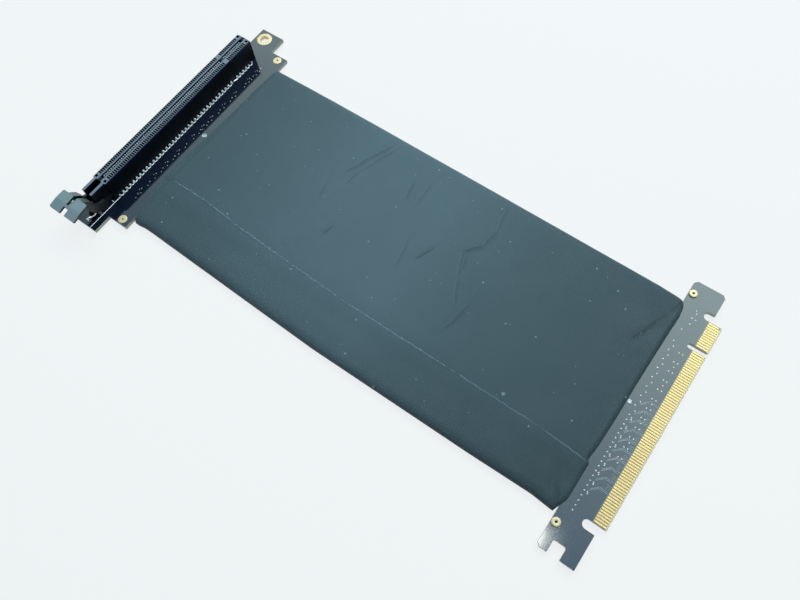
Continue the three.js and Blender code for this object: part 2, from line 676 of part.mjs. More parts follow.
function makeTape(x0, z0) {
  const low = SOLDER_SHELF_BOTTOM - 0.5;
  const high = SOLDER_SHELF_TOP + 0.5;
  return box(x0, x0 + TAPE_LENGTH, low, high, z0, z0 + TAPE_THICKNESS);
}

const ribbonAbove = BOARD_TOP;
const ribbonBelow = BOARD_BOTTOM - RIBBON_THICKNESS;
const tapeAbove = ribbonAbove + RIBBON_THICKNESS;
const tapeBelow = ribbonBelow - TAPE_THICKNESS;
const clothInsideTop = tapeAbove + TAPE_THICKNESS + CLOTH_CLEARANCE;
const clothInsideBottom = tapeBelow - CLOTH_CLEARANCE;

// Plan of the sleeve. Past the seam the cloth was wrapped a little further along the cable.
function sleevePlan() {
  const top = SLEEVE_TOP_Y;
  const bottom = SLEEVE_BOTTOM_Y;
  return [
    [SLEEVE_SOCKET_X - 1.0, SEAM_Y],
    [SLEEVE_SOCKET_X - 1.0 + SEAM_SHIFT, SEAM_Y - 5],
    [SLEEVE_SOCKET_X + 2.6, bottom + 3],
    [SLEEVE_SOCKET_X + 5.0, bottom],
    [SLEEVE_PLUG_X - 1.8, bottom],
    [SLEEVE_PLUG_X, bottom + 5],
    [SLEEVE_PLUG_X + 1.0, SEAM_Y - 1],
    [SLEEVE_PLUG_X - 1.0, SEAM_Y],
    [SLEEVE_PLUG_X + 0.2, top - 5],
    [SLEEVE_PLUG_X - 1.8, top - 0.6],
    [SLEEVE_PLUG_X - 6.0, top],
    [SLEEVE_SOCKET_X + 3.6, top],
    [SLEEVE_SOCKET_X + 1.2, top - 4],
  ];
}

function sleeveSection(inset, overlap) {
  const lowTop = clothInsideTop + CLOTH_THICKNESS - inset;
  const top = lowTop + overlap;
  const bottom = clothInsideBottom - CLOTH_THICKNESS + inset;
  const high = SLEEVE_TOP_Y - inset;
  const low = SLEEVE_BOTTOM_Y + inset;
  const radius = SLEEVE_EDGE_ROUNDING - inset;
  return [
    ...arc(low + radius, bottom + radius, radius, Math.PI, 1.5 * Math.PI, 4),
    ...arc(high - radius, bottom + radius, radius, 1.5 * Math.PI, 2 * Math.PI, 4),
    ...arc(high - radius, top - radius, radius, 0, Math.PI / 2, 4),
    [SEAM_Y, top],
    [SEAM_Y - 0.3, lowTop],
    ...arc(low + radius, lowTop - radius, radius, Math.PI / 2, Math.PI, 4),
  ];
}

// The sleeve along the cable: each lip lies on a board, then the cloth rises over the ribbons.
function sleeveLength(inset, overlap) {
  const top = clothInsideTop + CLOTH_THICKNESS - inset + overlap;
  const bottom = clothInsideBottom - CLOTH_THICKNESS + inset;
  const lipTop = BOARD_TOP + CLOTH_THICKNESS - inset + overlap;
  const lipBottom = BOARD_BOTTOM - CLOTH_THICKNESS + inset;
  const reach = inset > 0 ? 3 : 0;
  const socketLip = SLEEVE_SOCKET_X - 2 - reach;
  const plugLip = SLEEVE_PLUG_X + 2 + reach;
  const socketRise = SOCKET_BOARD_RIGHT - 0.6 + inset;
  const plugRise = PLUG_LEFT + 0.6 - inset;
  return [
    [socketLip, lipBottom],
    [socketRise - SLEEVE_LIP, lipBottom],
    [socketRise, bottom],
    [plugRise, bottom],
    [plugRise + SLEEVE_LIP, lipBottom],
    [plugLip, lipBottom],
    [plugLip, lipTop],
    [plugRise + SLEEVE_LIP, lipTop],
    [plugRise, top],
    [socketRise, top],
    [socketRise - SLEEVE_LIP, lipTop],
    [socketLip, lipTop],
  ];
}

function sleeveBody(inset, overlap) {
  const low = SLEEVE_BOTTOM_Y - 1;
  const high = SLEEVE_TOP_Y + 1;
  const along = lengthSection(sleeveLength(inset, overlap), low, high);
  const across = sideSection(sleeveSection(inset, overlap), SLEEVE_SOCKET_X - 9, SLEEVE_PLUG_X + 9);
  return along.intersect(across);
}

function makeSleeve() {
  const outside = sleeveBody(0, SEAM_STEP).intersect(plate(sleevePlan(), -1, SOCKET_TOP));
  const inside = sleeveBody(CLOTH_THICKNESS, 0);
  const socketRoom = box(
    SLEEVE_SOCKET_X - 9, SOCKET_BOARD_RIGHT + 0.3,
    SLEEVE_BOTTOM_Y - 2, SLEEVE_TOP_Y + 2,
    BOARD_BOTTOM, BOARD_TOP,
  );
  const plugRoom = box(
    PLUG_LEFT - 0.3, SLEEVE_PLUG_X + 9,
    SLEEVE_BOTTOM_Y - 2, SLEEVE_TOP_Y + 2,
    BOARD_BOTTOM, BOARD_TOP,
  );
  return outside.subtract(Manifold.union([inside, socketRoom, plugRoom]));
}

const group = new THREE.Group();
group.name = 'riser_cable';

const originX = (PLUG_EDGE_X - PAD_OUTER_HALF_WIDTH) / 2;
const originY = (TAB_TOP + PAD_OUTER_Y) / 2;
const originZ = clothInsideBottom - CLOTH_THICKNESS;

function add(name, solid, color, roughness, metalness) {
  const material = new THREE.MeshStandardMaterial({ color, roughness, metalness });
  const geometry = geometryOf(solid.translate([-originX, -originY, -originZ]));
  const mesh = new THREE.Mesh(geometry, material);
  mesh.name = name;
  group.add(mesh);
}

add('socket_board', makeSocketBoard(), SOLDER_MASK_COLOUR, 0.2, 0);
add('socket_housing', makeSocketHousing(), MOULDING_COLOUR, 0.45, 0);
add('slot_latch', makeSlotLatch(), LATCH_COLOUR, 0.5, 0);

const mountingRing = boardRing(
  0, MOUNTING_HOLE_Y, MOUNTING_RING_RADIUS,
  MOUNTING_BARREL_RADIUS, MOUNTING_HOLE_RADIUS, MOUNTING_RING_HEIGHT,
);
const socketTopEyelet = eyelet(
  SOCKET_EYELET_X, SOCKET_EYELET_TOP_Y, SOCKET_EYELET_RADIUS, FLAT_EYELET_HEIGHT,
);
const socketBottomEyelet = eyelet(
  SOCKET_EYELET_X, SOCKET_EYELET_BOTTOM_Y, SOCKET_EYELET_RADIUS, FLAT_EYELET_HEIGHT,
);
const socketMiddleEyelet = eyelet(
  SOCKET_EYELET_X, MIDDLE_EYELET_Y, MIDDLE_EYELET_RADIUS, FLAT_EYELET_HEIGHT,
);
add('mounting_ring', mountingRing, GOLD_COLOUR, 0.35, 1);
add('socket_eyelet_top', socketTopEyelet, GOLD_COLOUR, 0.35, 1);
add('socket_eyelet_bottom', socketBottomEyelet, GOLD_COLOUR, 0.35, 1);
add('socket_eyelet_middle', socketMiddleEyelet, TIN_COLOUR, 0.3, 1);

const plugEyeletX = PLUG_LEFT + PLUG_EYELET_INSET;
const plugTopEyelet = eyelet(plugEyeletX, plugEyeletTopY(), PLUG_EYELET_RADIUS, PLUG_EYELET_HEIGHT);
const plugBottomEyelet = eyelet(
  plugEyeletX, plugEyeletBottomY(), PLUG_EYELET_RADIUS, PLUG_EYELET_HEIGHT,
);
const plugMiddleEyelet = eyelet(
  PLUG_LEFT + PLUG_MIDDLE_EYELET_INSET, PLUG_CENTRE_Y,
  PLUG_MIDDLE_EYELET_RADIUS, FLAT_EYELET_HEIGHT,
);
add('plug_board', makePlugBoard(), SOLDER_MASK_COLOUR, 0.2, 0);
add('plug_eyelet_top', plugTopEyelet, GOLD_COLOUR, 0.35, 1);
add('plug_eyelet_bottom', plugBottomEyelet, GOLD_COLOUR, 0.35, 1);
add('plug_eyelet_middle', plugMiddleEyelet, TIN_COLOUR, 0.3, 1);

for (let index = 0; index < RIBBONS_PER_SIDE; index += 1) {
  add(`ribbon_upper_${index + 1}`, makeRibbon(index, ribbonAbove), RIBBON_COLOUR, 0.5, 0);
  add(`ribbon_lower_${index + 1}`, makeRibbon(index, ribbonBelow), RIBBON_COLOUR, 0.5, 0);
}

const socketTapeX = ribbonStartX + 0.4;
const plugTapeX = ribbonEndX - TAPE_LENGTH - 0.4;
add('socket_tape_upper', makeTape(socketTapeX, tapeAbove), TAPE_COLOUR, 0.6, 0);
add('socket_tape_lower', makeTape(socketTapeX, tapeBelow), TAPE_COLOUR, 0.6, 0);
add('plug_tape_upper', makeTape(plugTapeX, tapeAbove), TAPE_COLOUR, 0.6, 0);
add('plug_tape_lower', makeTape(plugTapeX, tapeBelow), TAPE_COLOUR, 0.6, 0);
add('cable_sleeve', makeSleeve(), CLOTH_COLOUR, 0.95, 0);

export default group;
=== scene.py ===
"""Looks of a riser cable: cloth sleeve, two circuit boards, card socket with its latch, and a gold-fingered plug."""
import math
import random

import bmesh
import bpy
import numpy as np
from bpy.props import FloatProperty, FloatVectorProperty, IntProperty, PointerProperty
from mathutils import Matrix, Vector, noise


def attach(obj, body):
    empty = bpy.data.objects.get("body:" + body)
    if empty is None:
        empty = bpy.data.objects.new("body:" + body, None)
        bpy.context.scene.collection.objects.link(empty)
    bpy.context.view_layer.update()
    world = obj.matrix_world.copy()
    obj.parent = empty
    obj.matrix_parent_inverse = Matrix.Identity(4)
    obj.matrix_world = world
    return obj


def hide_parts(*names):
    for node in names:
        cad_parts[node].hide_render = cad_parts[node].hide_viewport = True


bl_info = {
    "name": "Riser Cable Looks",
    "version": (1, 0, 0),
    "blender": (4, 5, 0),
    "location": "View3D > Sidebar > Riser",
    "description": "Builds the finishes and fine pieces of a riser cable around its packed frame",
    "category": "Object",
}

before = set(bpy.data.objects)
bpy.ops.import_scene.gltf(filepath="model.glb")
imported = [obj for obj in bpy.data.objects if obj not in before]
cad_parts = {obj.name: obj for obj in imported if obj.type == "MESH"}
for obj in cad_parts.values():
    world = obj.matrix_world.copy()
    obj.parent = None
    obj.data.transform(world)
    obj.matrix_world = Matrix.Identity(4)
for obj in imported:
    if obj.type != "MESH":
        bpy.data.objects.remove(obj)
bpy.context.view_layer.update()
MM = 0.001
TAU = 2 * math.pi

# Places in millimetres, read from the frame or shared by several pieces
SOCKET_X = -111.3
SOCKET_KEY_Y = 32.35
BOARD_TOP = 3.05
BOARD_BOTTOM = 1.45
SOCKET_TOP = 13.35
CONTACT_Y = [43.85 - i for i in range(11)] + [30.85 - i for i in range(71)]
TONGUE_X = 113.3
TONGUE_Y = 0.25
BEVEL_X = 117.7
RING_BOTTOM = BOARD_BOTTOM - 0.12


def new_piece(name, mesh_maker, material, body="cable", replaces=()):
    """Finishes a bmesh into an object at the origin that rides on a body of the frame"""
    bmesh.ops.scale(mesh_maker, vec=(MM, MM, MM), verts=mesh_maker.verts)
    bmesh.ops.recalc_face_normals(mesh_maker, faces=mesh_maker.faces)
    mesh = bpy.data.meshes.new(name)
    mesh_maker.to_mesh(mesh)
    mesh_maker.free()
    mesh.materials.append(material)
    piece = bpy.data.objects.new(name, mesh)
    bpy.context.scene.collection.objects.link(piece)
    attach(piece, body)
    if replaces:
        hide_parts(*replaces)
    return piece


def shade_smooth(piece, angle=40):
    piece.data.shade_smooth()
    piece.data.set_sharp_from_angle(angle=math.radians(angle))


class Shading:
    """A material's node tree, with short calls for the nodes that it uses"""

    def __init__(self, tree):
        self.tree = tree
        self.nodes = tree.nodes
        self.links = tree.links

    def node(self, kind, **values):
        made = self.nodes.new(kind)
        for name, value in values.items():
            setattr(made, name, value)
        return made

    def feed(self, socket, value):
        if isinstance(value, bpy.types.NodeSocket):
            self.links.new(value, socket)
        else:
            socket.default_value = value

    def math(self, operation, first, second=0.5, clamp=False):
        made = self.node("ShaderNodeMath", operation=operation, use_clamp=clamp)
        self.feed(made.inputs[0], first)
        self.feed(made.inputs[1], second)
        return made.outputs[0]

    def between(self, value, low, high):
        """1 where value is above low and below high"""
        return self.math("MULTIPLY", self.math("GREATER_THAN", value, low), self.math("LESS_THAN", value, high))

    def ramp(self, value, low, high, to_low=0.0, to_high=1.0):
        made = self.node("ShaderNodeMapRange", clamp=True)
        for socket, content in zip(made.inputs, (value, low, high, to_low, to_high)):
            self.feed(socket, content)
        return made.outputs[0]

    def mix(self, factor, first, second):
        made = self.node("ShaderNodeMix", data_type="RGBA")
        self.feed(made.inputs["Factor"], factor)
        self.feed(made.inputs[6], first)
        self.feed(made.inputs[7], second)
        return made.outputs[2]

    def noise(self, vector, scale, detail=2.0, rough=0.5):
        made = self.node("ShaderNodeTexNoise")
        self.feed(made.inputs["Vector"], vector)
        self.feed(made.inputs["Scale"], scale)
        self.feed(made.inputs["Detail"], detail)
        self.feed(made.inputs["Roughness"], rough)
        return made.outputs["Fac"]

    def vector(self, operation, first, second):
        made = self.node("ShaderNodeVectorMath", operation=operation)
        self.feed(made.inputs[0], first)
        self.feed(made.inputs[1], second)
        return made.outputs["Vector"]

    def dot(self, first, second):
        made = self.node("ShaderNodeVectorMath", operation="DOT_PRODUCT")
        self.feed(made.inputs[0], first)
        self.feed(made.inputs[1], second)
        return made.outputs["Value"]

    def place(self, vector, turn=(0, 0, 0), scale=(1, 1, 1)):
        made = self.node("ShaderNodeMapping")
        self.feed(made.inputs["Vector"], vector)
        self.feed(made.inputs["Rotation"], turn)
        self.feed(made.inputs["Scale"], scale)
        return made.outputs["Vector"]

    def bump(self, height, strength, distance):
        made = self.node("ShaderNodeBump")
        self.feed(made.inputs["Strength"], strength)
        self.feed(made.inputs["Distance"], distance)
        self.feed(made.inputs["Height"], height)
        return made.outputs["Normal"]

    def group(self, group, **values):
        made = self.node("ShaderNodeGroup", node_tree=group)
        for name, value in values.items():
            self.feed(made.inputs[name.replace("_", " ")], value)
        return made.outputs


def new_material(name):
    material = bpy.data.materials.new(name)
    material.use_nodes = True
    shading = Shading(material.node_tree)
    shader = shading.nodes["Principled BSDF"]
    position = shading.node("ShaderNodeTexCoord").outputs["Object"]
    return material, shading, shader, position


def new_group(name, inputs, outputs):
    tree = bpy.data.node_groups.new(name, "ShaderNodeTree")
    for socket_name, kind, default in inputs:
        socket = tree.interface.new_socket(socket_name, in_out="INPUT", socket_type=kind)
        if default is not None:
            socket.default_value = default
    for socket_name, kind in outputs:
        tree.interface.new_socket(socket_name, in_out="OUTPUT", socket_type=kind)
    shading = Shading(tree)
    return tree, shading, shading.node("NodeGroupInput").outputs, shading.node("NodeGroupOutput").inputs


def make_grain_group():
    """Fine moulded grain with broader dull patches"""
    inputs = [
        ("Vector", "NodeSocketVector", None),
        ("Grain Scale", "NodeSocketFloat", 4000.0),
        ("Patch Scale", "NodeSocketFloat", 120.0),
    ]
    outputs = [("Height", "NodeSocketFloat"), ("Patches", "NodeSocketFloat")]
    tree, shading, given, made = new_group("Moulded Grain", inputs, outputs)
    shading.feed(made["Height"], shading.noise(given["Vector"], given["Grain Scale"], 3.0, 0.6))
    shading.feed(made["Patches"], shading.noise(given["Vector"], given["Patch Scale"], 4.0, 0.6))
    return tree


def make_speck_group():
    """Scattered round specks of dust and lint"""
    inputs = [
        ("Vector", "NodeSocketVector", None),
        ("Density", "NodeSocketFloat", 300.0),
        ("Size", "NodeSocketFloat", 0.08),
        ("Share", "NodeSocketFloat", 0.1),
    ]
    tree, shading, given, made = new_group("Dust Specks", inputs, [("Mask", "NodeSocketFloat")])
    cells = shading.node("ShaderNodeTexVoronoi")
    shading.feed(cells.inputs["Vector"], given["Vector"])
    shading.feed(cells.inputs["Scale"], given["Density"])
    near = shading.math("LESS_THAN", cells.outputs["Distance"], given["Size"])
    parts = shading.node("ShaderNodeSeparateColor")
    shading.feed(parts.inputs[0], cells.outputs["Color"])
    chosen = shading.math("LESS_THAN", parts.outputs[0], given["Share"])
    shading.feed(made["Mask"], shading.math("MULTIPLY", near, chosen))
    return tree


def make_weave_group():
    """Diagonal rib of a fine woven cloth"""
    inputs = [("Vector", "NodeSocketVector", None), ("Pitch", "NodeSocketFloat", 0.00064)]
    outputs = [("Height", "NodeSocketFloat"), ("Mottle", "NodeSocketFloat")]
    tree, shading, given, made = new_group("Ribbed Weave", inputs, outputs)
    count = shading.math("DIVIDE", TAU, given["Pitch"])
    parts = shading.node("ShaderNodeSeparateXYZ")
    wobble = shading.noise(given["Vector"], 900.0, 2.0)
    shading.feed(parts.inputs[0], shading.place(given["Vector"], turn=(0, 0, math.radians(14))))
    along, across = parts.outputs["Y"], parts.outputs["X"]
    loose = shading.math("MULTIPLY", shading.math("SUBTRACT", wobble, 0.5), 0.00025)
    rib = shading.math("SINE", shading.math("MULTIPLY", shading.math("ADD", along, loose), count))
    thread = shading.math("SINE", shading.math("MULTIPLY", across, shading.math("MULTIPLY", count, 0.7)))
    woven = shading.math("ADD", rib, shading.math("MULTIPLY", thread, 0.45))
    shading.feed(made["Height"], shading.math("ADD", shading.math("MULTIPLY", woven, 0.3), 0.5))
    shading.feed(made["Mottle"], shading.noise(given["Vector"], 45.0, 4.0, 0.6))
    return tree


def make_line_group():
    """Masks for painted creases: a fine line between two points that fades at its ends, and a soft painted shade along
    one side
    """
    inputs = [
        ("Vector", "NodeSocketVector", None),
        ("Start", "NodeSocketVector", None),
        ("End", "NodeSocketVector", None),
    ]
    outputs = [("Line", "NodeSocketFloat"), ("Shade", "NodeSocketFloat")]
    tree, shading, given, made = new_group("Crease Line", inputs, outputs)
    axis = shading.vector("SUBTRACT", given["End"], given["Start"])
    offset = shading.vector("SUBTRACT", given["Vector"], given["Start"])
    offset = shading.vector("MULTIPLY", offset, (1, 1, 0))
    reach = shading.math("DIVIDE", shading.dot(offset, axis), shading.dot(axis, axis), clamp=True)
    step = shading.node("ShaderNodeVectorMath", operation="SCALE")
    shading.feed(step.inputs[0], axis)
    shading.feed(step.inputs["Scale"], reach)
    gap = shading.node("ShaderNodeVectorMath", operation="LENGTH")
    shading.feed(gap.inputs[0], shading.vector("SUBTRACT", offset, step.outputs[0]))
    distance = gap.outputs["Value"]
    turned = shading.node("ShaderNodeSeparateXYZ")
    shading.feed(turned.inputs[0], shading.vector("CROSS_PRODUCT", axis, offset))
    beside = shading.math("GREATER_THAN", turned.outputs["Z"], 0.0)
    middle = shading.math("ABSOLUTE", shading.math("SUBTRACT", reach, 0.5))
    fade = shading.ramp(middle, 0.3, 0.5, 1.0, 0.25)
    line = shading.ramp(distance, 0.0001, 0.00035, 1.0, 0.0)
    soft = shading.math("MULTIPLY", shading.ramp(distance, 0.0002, 0.0017, 1.0, 0.0), beside)
    shading.feed(made["Line"], shading.math("MULTIPLY", line, fade))
    shading.feed(made["Shade"], shading.math("MULTIPLY", soft, fade))
    return tree


def crease_masks(shading, position, paths):
    """The strongest painted line and painted shade of several paths of (x, y) points, in millimetres"""
    wobble = shading.node("ShaderNodeTexNoise")
    shading.feed(wobble.inputs["Vector"], position)
    shading.feed(wobble.inputs["Scale"], 350.0)
    drift = shading.vector("MULTIPLY", shading.vector("SUBTRACT", wobble.outputs["Color"], (0.5, 0.5, 0.5)),
                           (0.0012, 0.0012, 0))
    place = shading.vector("ADD", position, drift)
    line, shade = 0.0, 0.0
    for path in paths:
        for start, end in zip(path, path[1:]):
            start, end = ((x * MM, y * MM, 0) for x, y in (start, end))
            made = shading.group(GROUPS["line"], Vector=place, Start=start, End=end)
            line = shading.math("MAXIMUM", made["Line"], line)
            shade = shading.math("MAXIMUM", made["Shade"], shade)
    return line, shade


def make_cloth_material(colours):
    material, shading, shader, position = new_material("sleeve_cloth")
    weave = shading.group(GROUPS["weave"], Vector=position)
    dust = shading.group(GROUPS["specks"], Vector=position, Density=190.0, Size=0.07, Share=0.45)
    fluff = shading.group(GROUPS["specks"], Vector=position, Density=60.0, Size=0.04, Share=0.3)
    mottle = shading.ramp(weave["Mottle"], 0.3, 0.7)
    tone = shading.mix(mottle, (*colours.cloth_dark, 1), (*colours.cloth_light, 1))
    axes = shading.node("ShaderNodeSeparateXYZ")
    shading.feed(axes.inputs[0], position)
    # Painted shade: the cloth darkens toward the plug end, toward the seam's edge of the sleeve and toward the socket
    # end
    toward_plug = shading.ramp(axes.outputs["X"], 0.01, 0.1, 0.0, 0.84)
    toward_seam = shading.ramp(axes.outputs["Y"], -0.02, -0.047, 0.0, 0.3)
    toward_socket = shading.ramp(axes.outputs["X"], -0.035, -0.097, 0.0, 0.45)
    shade = shading.math("ADD", shading.math("ADD", toward_plug, toward_seam), toward_socket, clamp=True)
    tone = shading.mix(shade, tone, (*[0.62 * c for c in colours.cloth_dark], 1))
    shown = shading.ramp(shading.math("ADD", shade, shading.math("MULTIPLY", mottle, 0.25)), 0.05, 0.5, 0.12, 0.75)
    rib = shading.math("MULTIPLY", shading.ramp(weave["Height"], 0.2, 0.8, 1.0, 0.0), shown)
    tone = shading.mix(rib, tone, (*[0.4 * c for c in colours.cloth_dark], 1))
    # Painted light on the creases: a pale painted highlight along each crease, and a painted shade along one side
    line, soft = crease_masks(shading, position, HIGHLIT_CREASES)
    tone = shading.mix(shading.math("MULTIPLY", soft, 0.5), tone, (*[0.45 * c for c in colours.cloth_dark], 1))
    tone = shading.mix(shading.math("MULTIPLY", line, 0.14), tone, (*[2.0 * c for c in colours.cloth_light], 1))
    line, soft = crease_masks(shading, position, [SEAM])
    tone = shading.mix(shading.math("MULTIPLY", line, 0.45), tone, (*[1.9 * c for c in colours.cloth_light], 1))
    # Painted shade: dark lines and soft shade along the shaded creases and in the gathers at the plug's corners
    line, soft = crease_masks(shading, position, SHADED_CREASES)
    tone = shading.mix(shading.math("MULTIPLY", line, 0.7), tone, (*[0.3 * c for c in colours.cloth_dark], 1))
    tone = shading.mix(shading.math("MULTIPLY", soft, 0.5), tone, (*[0.4 * c for c in colours.cloth_dark], 1))
    specks = shading.math("ADD", dust["Mask"], fluff["Mask"], clamp=True)
    tone = shading.mix(shading.math("MULTIPLY", specks, 0.42), tone, (0.42, 0.5, 0.52, 1))
    shading.feed(shader.inputs["Base Color"], tone)
    shading.feed(shader.inputs["Roughness"], shading.ramp(weave["Mottle"], 0.2, 0.8, 0.62, 0.85))
    shading.feed(shader.inputs["Normal"], shading.bump(weave["Height"], 0.55, 0.00012))
    shader.inputs["Sheen Weight"].default_value = 0.12
    shader.inputs["Sheen Roughness"].default_value = 0.5
    return material


def board_parts(shading, position):
    """Masks of a board: its cut edges, and its height"""
    parts = shading.node("ShaderNodeSeparateXYZ")
    shading.feed(parts.inputs[0], position)
    normal = shading.node("ShaderNodeSeparateXYZ")
    shading.feed(normal.inputs[0], shading.node("ShaderNodeNewGeometry").outputs["Normal"])
    upright = shading.math("ABSOLUTE", normal.outputs["Z"])
    return parts.outputs, shading.math("LESS_THAN", upright, 0.3)


def make_board_material(name, colours, metal, plug):
    """Glossy solder mask with laminate edges, and bare metal where a solid stands above the mask"""
    material, shading, shader, position = new_material(name)
    axes, edge = board_parts(shading, position)
    proud = (BOARD_TOP + 0.03) * MM
    above = shading.math("GREATER_THAN", axes["Z"], proud)
    below = shading.math("LESS_THAN", axes["Z"], (BOARD_BOTTOM - 0.03) * MM)
    bare = shading.math("ADD", above, below, clamp=True)
    grain = shading.group(GROUPS["grain"], Vector=position, Grain_Scale=2500.0, Patch_Scale=90.0)
    brushed = shading.noise(shading.place(position, scale=(400, 1800, 1)), 1.0, 3.0)
    mask_tone = shading.mix(grain["Patches"], (*colours.mask_dark, 1), (*colours.mask_light, 1))
    dust = shading.group(GROUPS["specks"], Vector=position, Density=500.0, Size=0.05, Share=0.12)
    mask_tone = shading.mix(shading.math("MULTIPLY", dust["Mask"], 0.35), mask_tone, (0.4, 0.45, 0.47, 1))
    fibre = shading.noise(shading.place(position, scale=(300, 300, 6000)), 1.0, 2.0)
    laminate = shading.mix(fibre, (*colours.laminate, 1), (*[0.7 * c for c in colours.laminate], 1))
    tone = mask_tone
    if plug:
        outer = shading.math("GREATER_THAN", axes["X"], (TONGUE_X - 0.25) * MM)
        beside = shading.between(axes["Y"], (TONGUE_Y - 42.2) * MM, (TONGUE_Y + 42.2) * MM)
        tongue = shading.math("MULTIPLY", outer, beside)
        tone = shading.mix(tongue, tone, (*colours.tongue, 1))
    tone = shading.mix(edge, tone, laminate)
    scratches = shading.noise(shading.place(position, scale=(250, 2600, 1)), 1.0, 3.0)
    if plug:
        phase = shading.math("FRACT", shading.math("SUBTRACT", shading.math("DIVIDE", axes["Y"], MM), TONGUE_Y))
        stripe = shading.math("LESS_THAN", shading.math("ABSOLUTE", shading.math("SUBTRACT", phase, 0.5)), 0.31)
        bevel = shading.math("GREATER_THAN", axes["X"], BEVEL_X * MM)
        bare = shading.math("ADD", bare, bevel, clamp=True)
        gap = shading.math("MULTIPLY", shading.math("SUBTRACT", 1.0, stripe), tongue)
    metal_tone = shading.mix(shading.ramp(scratches, 0.35, 0.65), (*metal, 1), (*[0.93 * c for c in metal], 1))
    if plug:
        metal_tone = shading.mix(gap, metal_tone, (*[1.6 * c for c in colours.tongue], 1))
    tone = shading.mix(bare, tone, metal_tone)
    metallic = shading.math("MULTIPLY", bare, 0.4)
    if plug:
        # Painted reflection: the bevel is pale and not metallic, so that it reads bright instead of mirroring dark
        # surroundings
        tone = shading.mix(shading.math("MULTIPLY", bevel, tongue), tone, (1.0, 0.82, 0.5, 1))
        metallic = shading.math("MULTIPLY", metallic, shading.math("SUBTRACT", 1.0, bevel))
    shading.feed(shader.inputs["Base Color"], tone)
    shading.feed(shader.inputs["Metallic"], metallic)
    rough = shading.ramp(grain["Patches"], 0.3, 0.7, 0.06, 0.11)
    rough = shading.math("ADD", rough, shading.math("MULTIPLY", edge, 0.45), clamp=True)
    rough = shading.math("ADD", rough, shading.math("MULTIPLY", bare, 0.28), clamp=True)
    shading.feed(shader.inputs["Roughness"], rough)
    height = shading.math("ADD", grain["Height"], shading.math("MULTIPLY", brushed, 0.8))
    shading.feed(shader.inputs["Normal"], shading.bump(height, 0.05, 0.00002))
    shader.inputs["IOR"].default_value = 1.6
    return material


def make_moulding_material(colours):
    """Satin black moulding, with a painted highlight on its top and painted shade lower down, round its windows and in
    its slot
    """
    material, shading, shader, position = new_material("socket_moulding")
    parts = shading.node("ShaderNodeSeparateXYZ")
    shading.feed(parts.inputs[0], position)
    axes = parts.outputs
    # Masks for painted shade: the slot, and the moulding round each window
    across = shading.math("ABSOLUTE", shading.math("SUBTRACT", axes["X"], SOCKET_X * MM))
    in_slot = shading.math("LESS_THAN", across, 0.885 * MM)
    top = shading.math("GREATER_THAN", axes["Z"], (SOCKET_TOP - 0.12) * MM)
    turn = shading.math("FRACT", shading.math("SUBTRACT", shading.math("DIVIDE", axes["Y"], MM), 0.35))
    near_window = shading.math("LESS_THAN", shading.math("ABSOLUTE", shading.math("SUBTRACT", turn, 0.5)), 0.36)
    near_window = shading.math("MULTIPLY", near_window, shading.between(across, 1.5 * MM, 3.4 * MM))
    long_row = shading.between(axes["Y"], -39.6 * MM, 31.3 * MM)
    short_row = shading.between(axes["Y"], 33.4 * MM, 44.3 * MM)
    rows = shading.math("ADD", long_row, short_row, clamp=True)
    near_window = shading.math("MULTIPLY", near_window, rows)
    grain = shading.group(GROUPS["grain"], Vector=position, Grain_Scale=3500.0, Patch_Scale=110.0)
    # Painted shade: the moulding darkens lower down
    depth = shading.ramp(axes["Z"], (SOCKET_TOP - 1.2) * MM, (SOCKET_TOP - 0.02) * MM)
    tone = shading.mix(depth, (*colours.moulding_shade, 1), (*colours.moulding, 1))
    worn = shading.ramp(grain["Patches"], 0.55, 0.8, 0.0, 0.2)
    tone = shading.mix(worn, tone, (*[2.0 * c for c in colours.moulding], 1))
    # Painted highlight on the top, then painted shade round the windows and in the slot
    tone = shading.mix(top, tone, (*colours.rim, 1))
    tone = shading.mix(near_window, tone, (*colours.moulding_shade, 1))
    tone = shading.mix(in_slot, tone, (*colours.moulding_shade, 1))
    shading.feed(shader.inputs["Base Color"], tone)
    shader.inputs["Specular IOR Level"].default_value = 0.32
    shader.inputs["Specular Tint"].default_value = (0.6, 0.72, 1.0, 1)
    shading.feed(shader.inputs["Roughness"], shading.ramp(grain["Patches"], 0.3, 0.7, 0.3, 0.42))
    shading.feed(shader.inputs["Normal"], shading.bump(grain["Height"], 0.2, 0.00002))
    return material


def make_latch_material(colours):
    """Satin moulding with painted light: its high upper faces are painted paler than its sides, which get a dark
    painted shade
    """
    material, shading, shader, position = new_material("latch_moulding")
    grain = shading.group(GROUPS["grain"], Vector=position, Grain_Scale=3000.0, Patch_Scale=250.0)
    normal = shading.node("ShaderNodeSeparateXYZ")
    shading.feed(normal.inputs[0], shading.node("ShaderNodeNewGeometry").outputs["Normal"])
    height = shading.node("ShaderNodeSeparateXYZ")
    shading.feed(height.inputs[0], position)
    # Painted light: high faces that look upward get the pale lit tone, the rest a dark painted shade
    high = shading.ramp(height.outputs["Z"], 10.5 * MM, 12.5 * MM)
    upward = shading.math("MULTIPLY", shading.ramp(normal.outputs["Z"], 0.3, 0.85), high)
    pale = shading.mix(grain["Patches"], (*colours.latch, 1), (*[0.85 * c for c in colours.latch], 1))
    dark = (*[0.05 * c for c in colours.latch], 1)
    shading.feed(shader.inputs["Base Color"], shading.mix(upward, dark, pale))
    shading.feed(shader.inputs["Roughness"], shading.ramp(grain["Patches"], 0.3, 0.7, 0.36, 0.48))
    shading.feed(shader.inputs["Normal"], shading.bump(grain["Height"], 0.15, 0.00002))
    return material


